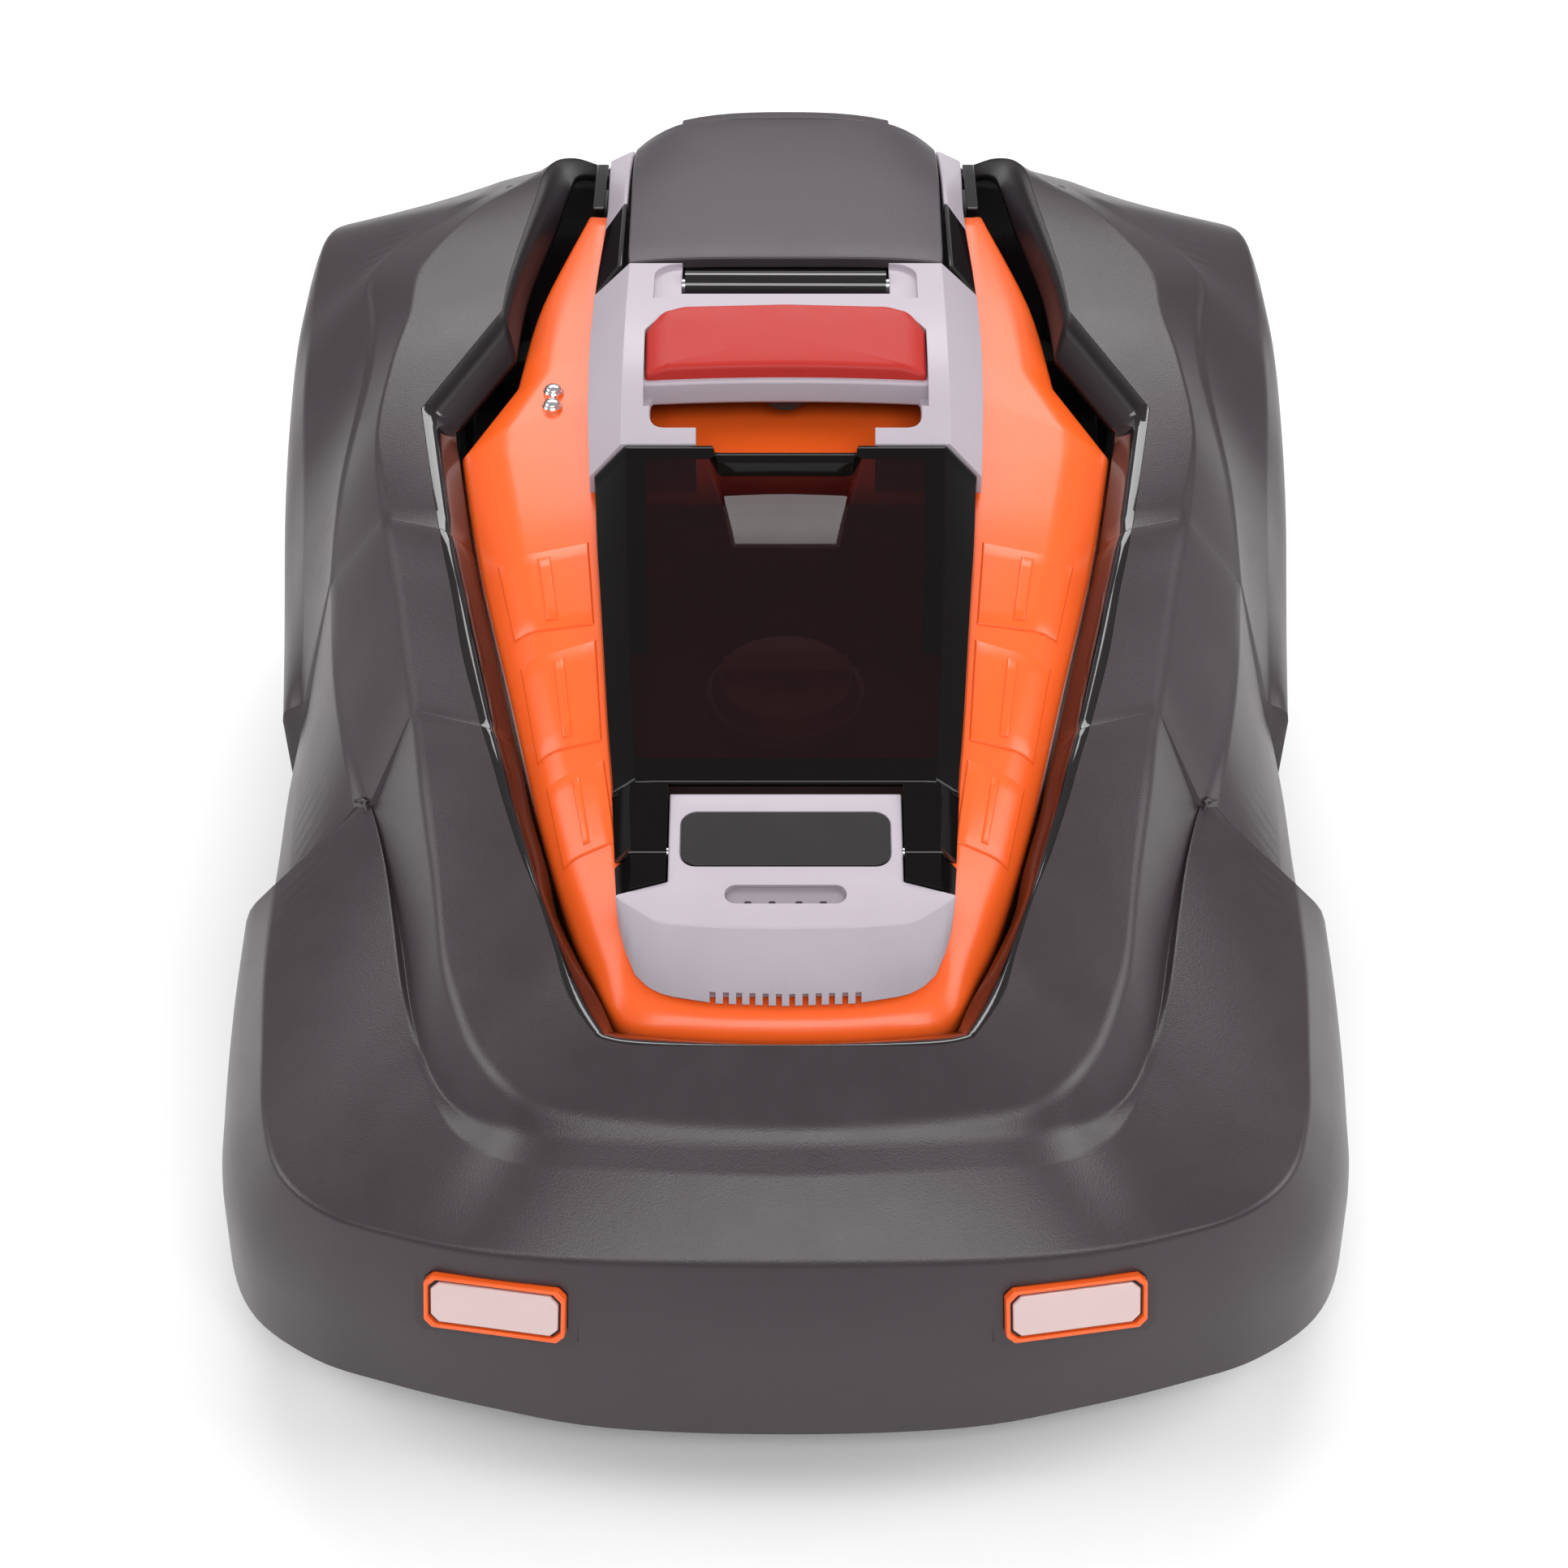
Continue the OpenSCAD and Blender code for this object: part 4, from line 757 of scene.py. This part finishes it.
cut(handle, prism("window_notch", [(-36.6, 10), (-36.6, 28), (36.6, 28), (36.6, 10)], 200, 300))
grip_front = [(x, 45.9 + 2.6 * (1 - (x / 58) ** 2)) for x in range(-60, 61, 6)]
bar = prism("bar", grip_front + [(60, 94), (-60, 94)], 250.2, 261)
soften(bar, 1.2, 3, 35)
apply_all(bar)
cut(handle, prism("under", [(-58, 40), (-58, 128), (58, 128), (58, 40)], 200, 250.2))
BUTTON = [(x, 48.6 + 2.6 * (1 - (x / 58) ** 2)) for x in range(-58, 59, 8)]
BUTTON = BUTTON[:-1] + [(58.3, 48.6), (58.3, 75.5), (52.5, 84), (43, 87), (0, 88.4), (-43, 87), (-52.5, 84),
                        (-58.3, 75.5)]
pocket = [(x * 1.006, 48.2 + (y - 48.6) * 1.012) for x, y in BUTTON]
pocket = [(x, y - (14 if y < 53 else 0)) for x, y in pocket]
cut(handle, prism("pocket", pocket, 253.6, 300))
recess = [(-56, 100), (56, 100), (56, 118)] + [
    (45.6 + 10.4 * math.cos(math.radians(a)), 119 + 10 * math.sin(math.radians(a))) for a in range(0, 91, 15)]
recess += [(45.6, 140), (-45.6, 140)] + [
    (-45.6 - 10.4 * math.sin(math.radians(a)), 119 + 10 * math.cos(math.radians(a)))
    for a in range(0, 91, 15)]
recess += [(-56, 118)]
shallow = prism("shallow", [(x, y) if y < 130 else (x, 129) for x, y in recess], 266.9, 300)
cut(handle, shallow)
cut(handle, prism("barrel_bed", [(-44.4, 108), (44.4, 108), (44.4, 140), (-44.4, 140)], 255.4, 300))
soften(handle, 1.0, 3, 32)
apply_all(handle)

# frame beside the lid: y, underside, top of its inner edge, half-width, top of its outer edge
REAR = [(131.7, 242.2, 266.8, 83, 252.5), (150, 243, 267, 82.5, 253), (186.7, 246.6, 266.4, 81, 253),
        (208, 248.3, 265, 80.5, 252), (224, 246, 262.6, 81, 250.6), (240, 243, 258.6, 81.6, 248.5),
        (254, 239.5, 254.2, 82.0, 246.4), (266, 236.2, 249.5, 82.2, 244.5)]


def beside_lid(side, rows, material):
    return block("beside_lid", [[(side * x, y, z)
                                 for x, z in ((70.4, z0), (w, z0), (w, z2), (72, z1), (70.4, z1))]
                                for y, z0, z1, w, z2 in rows], M[material])


tail = [soften(beside_lid(side, REAR[2:], "grey"), 1.0, 3, 30) for side in (1, -1)]
crest = [(-78, 241), (-68, 242.5), (-58, 248), (-48, 256.5), (48, 256.5), (58, 248), (68, 242.5), (78, 241)]
wall = block("tail_wall", [[(x, 264, 226.2), (x * 0.95, 276.8, 226.2), (x * 0.98, 277.8, 236),
                            (x, 275, min(250, z)),
                            (x, 271, z), (x, 264, z)] for x, z in crest], M["grey"])
tail.append(soften(wall, 1.0, 3, 25))
centre = join("centre_frame_skin", [nose, handle, bar] + rails + tail)
finish_piece(centre, "chassis", "light_grey", "centre_frame")

# gloss cheeks beside the lid, and the shoulders in front of the window's legs
gloss_sides = []
PIN = (-159, 184.5)
for side in (1, -1):
    strip = beside_lid(side, [REAR[0], REAR[1], (186.2,) + REAR[2][1:]], "gloss")
    gloss_sides.append(soften(strip, 1.0, 3, 30))
    quarter = block("quarter", [[(side * x, 216, 240), (side * x, 262, 236), (side * x, 262, 245),
                                 (side * x, 246, 247.5), (side * x, 216, 247.5)]
                                for x in (82.8, 88.3)], M["gloss"])
    gloss_sides.append(soften(quarter, 0.8, 3, 30))
    shoulder = block("shoulder", [
        [(side * x, y, z) for x, y, z in rows] for rows in (
            [(44.6, -174.2, 175.1), (63, -179.3, 173.9), (57.5, -177.8, 183.7), (44.6, -174.2, 184.8)],
            [(44.6, -162.6, 179.8), (64.3, -162.6, 179.8), (57.9, -162.6, 187.6), (44.6, -162.6, 187.6)])],
        M["smoked_frame"])
    pin_room = block("pin_room", [[(x, PIN[0] + 4.35 * math.cos(k * math.pi / 16), PIN[1] + 4.35 * math.sin(
        k * math.pi / 16)) for k in range(32)] for x in (-80, 80)], M["smoked_frame"])
    cut(shoulder, pin_room)
    gloss_sides.append(soften(shoulder, 0.6, 3, 30))
finish_piece(join("side_cheek_skin", gloss_sides), "chassis", "gloss_black", "side_cheeks")

badge = plate("badge_skin", [(x, y + 0.8 * (1 - (x / 39) ** 2) * (1 if y > 0 else 0.6)) for x, y in
                             round_rect(78.6, 24.4, 5.8)], 1.6, M["label"])
soften(badge, 0.4, 2, 40)
finish_piece(on_nose(apply_all(badge), -0.4, -1.25), "chassis", "lid_plastic", "badge_plate")

# the slot's floor plate, darker than the nose to paint the shade in the recess
light_bar = plate("light_bar", round_rect(44.4, 7.4, 3.6), 0.5, M["grey_painted_shade"])
lamps = [on_nose(apply_all(soften(light_bar, 0.15, 2, 40)), -25.4, -2.15)]
for x in (-14, -5, 5, 14):
    dot = plate("dot", round_rect(2.6, 1.3, 0.6, 3), 0.5, M["label"])
    place(dot, (x, 0, 0))
    lamps.append(on_nose(dot, -28.4, -1.75))
finish_piece(join("status_light_skin", lamps), "chassis", "chassis_plastic", "status_light")

# ---------- stop button ----------


def button_top(x, y, inset):
    side = max(0.0, abs(x) - 49) / 9.3
    front = max(0.0, 1 - (y - 48.6) / 3)
    return 266.4 + (y - 48.6) * 0.205 - 2.6 * side - (1.2 * front if inset else 0)


edge = rounded_outline(BUTTON, 2.0, 3)
centre = Vector((0, 68))


def shrink(points, d):
    out = []
    for x, y in points:
        q = Vector((x, y)) - centre
        out.append((x - d * (1 if x > 0 else -1) * min(1, abs(q.x) / 40), y - d * (1 if q.y > 0 else -1) *
                    min(1, abs(q.y) / 14)))
    return out


rings = [[(x, y, 258.0) for x, y in edge], [(x, y, button_top(x, y, False) - 2.0) for x, y in edge]]
for d, drop in ((0.25, 1.3), (0.8, 0.6), (1.6, 0.15)):
    rings.append([(x, y, button_top(x, y, False) - drop) for x, y in shrink(edge, d)])
rings.append([(max(-49, min(49, x)), y, 266.4 + (y - 48.6) * 0.205) for x, y in shrink(edge, 3.2)])
rings.append([(x * 0.5, 68 + (y - 68) * 0.5, 266.4 + (68 + (y - 68) * 0.5 - 48.6) * 0.205 + 0.25)
              for x, y in [(max(-49, min(49, x)), y) for x, y in shrink(edge, 3.2)]])
button = block("stop_button_skin", rings, M["red"], 24)
stem = block("stem", [[(4 * math.cos(k * math.pi / 10), 62 + 4 * math.sin(k * math.pi / 10), z)
                       for k in range(20)] for z in (251.5, 259)], M["red"])
finish_piece(join("stop_button_skin", [button, stem]), "stop_button", "button_red", "stop_button")

# ---------- rear lid and its lip -------------

# y, top at the middle, half-width, drop of the edges
LID = [(133.5, 269.4, 67.6, 2.6), (138, 270.2, 68.2, 2.8), (150, 270.9, 68.4, 3), (187, 271.6, 68.8, 3.8),
       (215, 271.8, 69.2, 6), (244, 271.2, 69.4, 11.5), (256, 270.3, 69.4, 15), (262, 269.4, 69.2, 17),
       (268.5, 266, 66, 17)]
lid_rows = []
for y, top, w, drop in LID:
    over = []
    for k in range(25):
        t = 1 - k / 12
        share = abs(t) ** 0.75 * (1 if t > 0 else -1)
        over.append((share * w, y, top - drop * abs(share) ** 4.3))
    under = [(x, y, z - 4.9) for x, y, z in reversed(over)]
    lid_rows.append([Vector(p) for p in over + under])
lid = block("lid_skin", refine(lid_rows, 4), M["lid"], 30)
soften(lid, 0.9, 3, 40)
lip_rows = []
for k in range(13):
    x = -48 + 8 * k
    y = 1.4 * (1 - (x / 48) ** 2) - 1.4
    z = -3.6 * (abs(x) / 48) ** 3
    lip_rows.append([(x, 257 + y, 263 + z), (x, 258.4 + y, 270.9 + z), (x, 267.4 + y, 269.3 + z),
                     (x, 269.4 + y, 265.5 + z), (x, 268 + y, 262 + z)])
lip = block("lid_lip", lip_rows, M["lid"], 40)
soften(lip, 0.9, 3, 35)
finish_piece(join("rear_lid_skin", [lid, lip]), "rear_lid", "lid_plastic", "rear_lid")

# ---------- smoked window cover ----------

# y, foot half-width and height, height of the side, top half-width and height, scoop's half-width and depth
WINDOW = [(-132, 66.4, 187.6, 2, 58.5, 196, 20, 0), (-121, 67.3, 190.4, 2.2, 59, 199.4, 20, 0),
          (-100, 69.5, 196.4, 3, 60.5, 206.5, 20, 0), (-64, 72.5, 206.2, 4.5, 62.5, 219.5, 20, 0),
          (-30, 75.4, 214.4, 6.6, 64.2, 232.3, 20, 0), (-24, 76, 216, 7, 64.5, 234.6, 20.6, 1.2),
          (-8, 77.2, 219.4, 8, 65, 240.6, 23.4, 6.2), (9, 78.2, 222.8, 9, 65.5, 247, 26.4, 11),
          (11, 78.3, 223.2, 9.1, 65.6, 247.6, 27, 11.2), (12.6, 78.4, 223.6, 9.2, 65.7, 248.2, 27.4, 3.6),
          (17.4, 79, 224.8, 10, 66, 249.8, 28.4, 3.4)]


def window_row(y, foot, z, side, top, crest, scoop, depth):
    half = [(0, y, crest - depth), (scoop - 2, y, crest - depth), (scoop, y, crest - depth * 0.94),
            (scoop + 0.35 * depth, y, crest), (57 * top / 66, y, crest), (top - 1.2, y, crest),
            (top, y, crest - 0.7),
            (foot - 0.6, y, z + side), (foot, y, z)]
    return [Vector((-p[0], p[1], p[2])) * MM for p in reversed(half[1:])] + [Vector(p) * MM for p in half]


window_rows = refine([window_row(*s) for s in WINDOW], 3, [(4, 7, 8, 9)])
window = grid_object("window_skin", window_rows, M["smoked"], angle=22)
window.data.materials.append(M["smoked_frame"])
for p in window.data.polygons:
    c = p.center / MM
    if abs(c.x) > 57 or c.y < -121 or c.y > 11.5:
        p.material_index = 1
thicken(window, 2.2, -1)
apply_all(window)
legs = []
for side in (1, -1):
    rows = []
    for k in range(6):
        a = math.radians(15 * k)
        half = 3.95 * math.sin(a) + 0.1
        rows.append((PIN[0] - 3.95 * math.cos(a), PIN[1] - half, PIN[1] + half))
    rows += [(-159, 180.6, 188.4), (-145, 184.4, 192.3), (-132.1, 187.8, 195.9)]
    sections = []
    for y, z0, z1 in rows:
        foot = 64.6 + (y + 159) * 0.063 if y > -159 else 64.6
        lean = 0.83
        mid = (z0 + z1) / 2
        sections.append([(side * x, y, z) for x, z in ((44.6, z0), (foot - 3.3 + (mid - z0) * lean, z0),
                                                       (foot - 3.3 - (z1 - mid) * lean, z1), (44.6, z1))])
    leg = block("leg", sections, M["smoked_frame"])
    legs.append(soften(leg, 0.5, 2, 40))
finish_piece(join("window_skin", [window]), "window_cover", "smoked", "window_cover")
finish_piece(join("window_legs", legs), "window_cover", "gloss_black", "window_hinges")

# ---------- materials of the CAD nodes that stay ----------

LOOK = {
    "shell_plastic": "shell", "gloss_black": "gloss", "orange_gloss": "orange", "light_grey": "grey",
    "lid_plastic": "lid", "chassis_plastic": "chassis", "steel": "steel", "chrome": "chrome",
    "battery_blue": "battery", "board_green": "board", "bush_plastic": "bush", "rim_plastic": "rim",
    "tyre": "tyre", "boot_rubber": "boot", "motor_metal": "motor", "button_red": "red",
    "smoked": "smoked", "screen": "screen", "reflector_lens": "lens",
}
SOFT = {
    "chassis_tub": 1.2, "rim_left": 0.8, "rim_right": 0.8, "tyre_left": 0.8, "tyre_right": 0.8,
    "drive_motor_left": 1.0, "drive_motor_right": 1.0, "caster_fork_left": 0.7, "caster_fork_right": 0.7,
    "caster_wheel_left": 0.6, "caster_wheel_right": 0.6, "battery_pack": 1.5, "battery_cover": 0.5,
    "charging_contacts": 0.3, "blade_disc": 0.4, "cutter_carriage": 0.5, "height_knob": 1.0,
    "key_power": 0.5, "key_start": 0.5, "key_home": 0.5, "key_ok": 0.5, "hub_cap_left": 0.6,
    "hub_cap_right": 0.6,
    "control_panel": 0.8, "window_well": 0.8, "side_cheeks": 1.0, "centre_frame": 1.0,
    "rear_lid": 1.0, "stop_button": 1.0, "window_cover": 0.5, "lid_hinge": 0.5, "window_hinges": 0.5,
}
slots = {part["node"]: part["material_slot"] for part in frame["record"]["subparts"]}
for name, obj in nodes.items():
    obj.data.materials.clear()
    obj.data.materials.append(M[LOOK[slots[name]]])
    for p in obj.data.polygons:
        p.use_smooth = True
    obj.data.set_sharp_from_angle(angle=math.radians(32))
    if name in SOFT:
        soften(obj, SOFT[name], 3, 35)
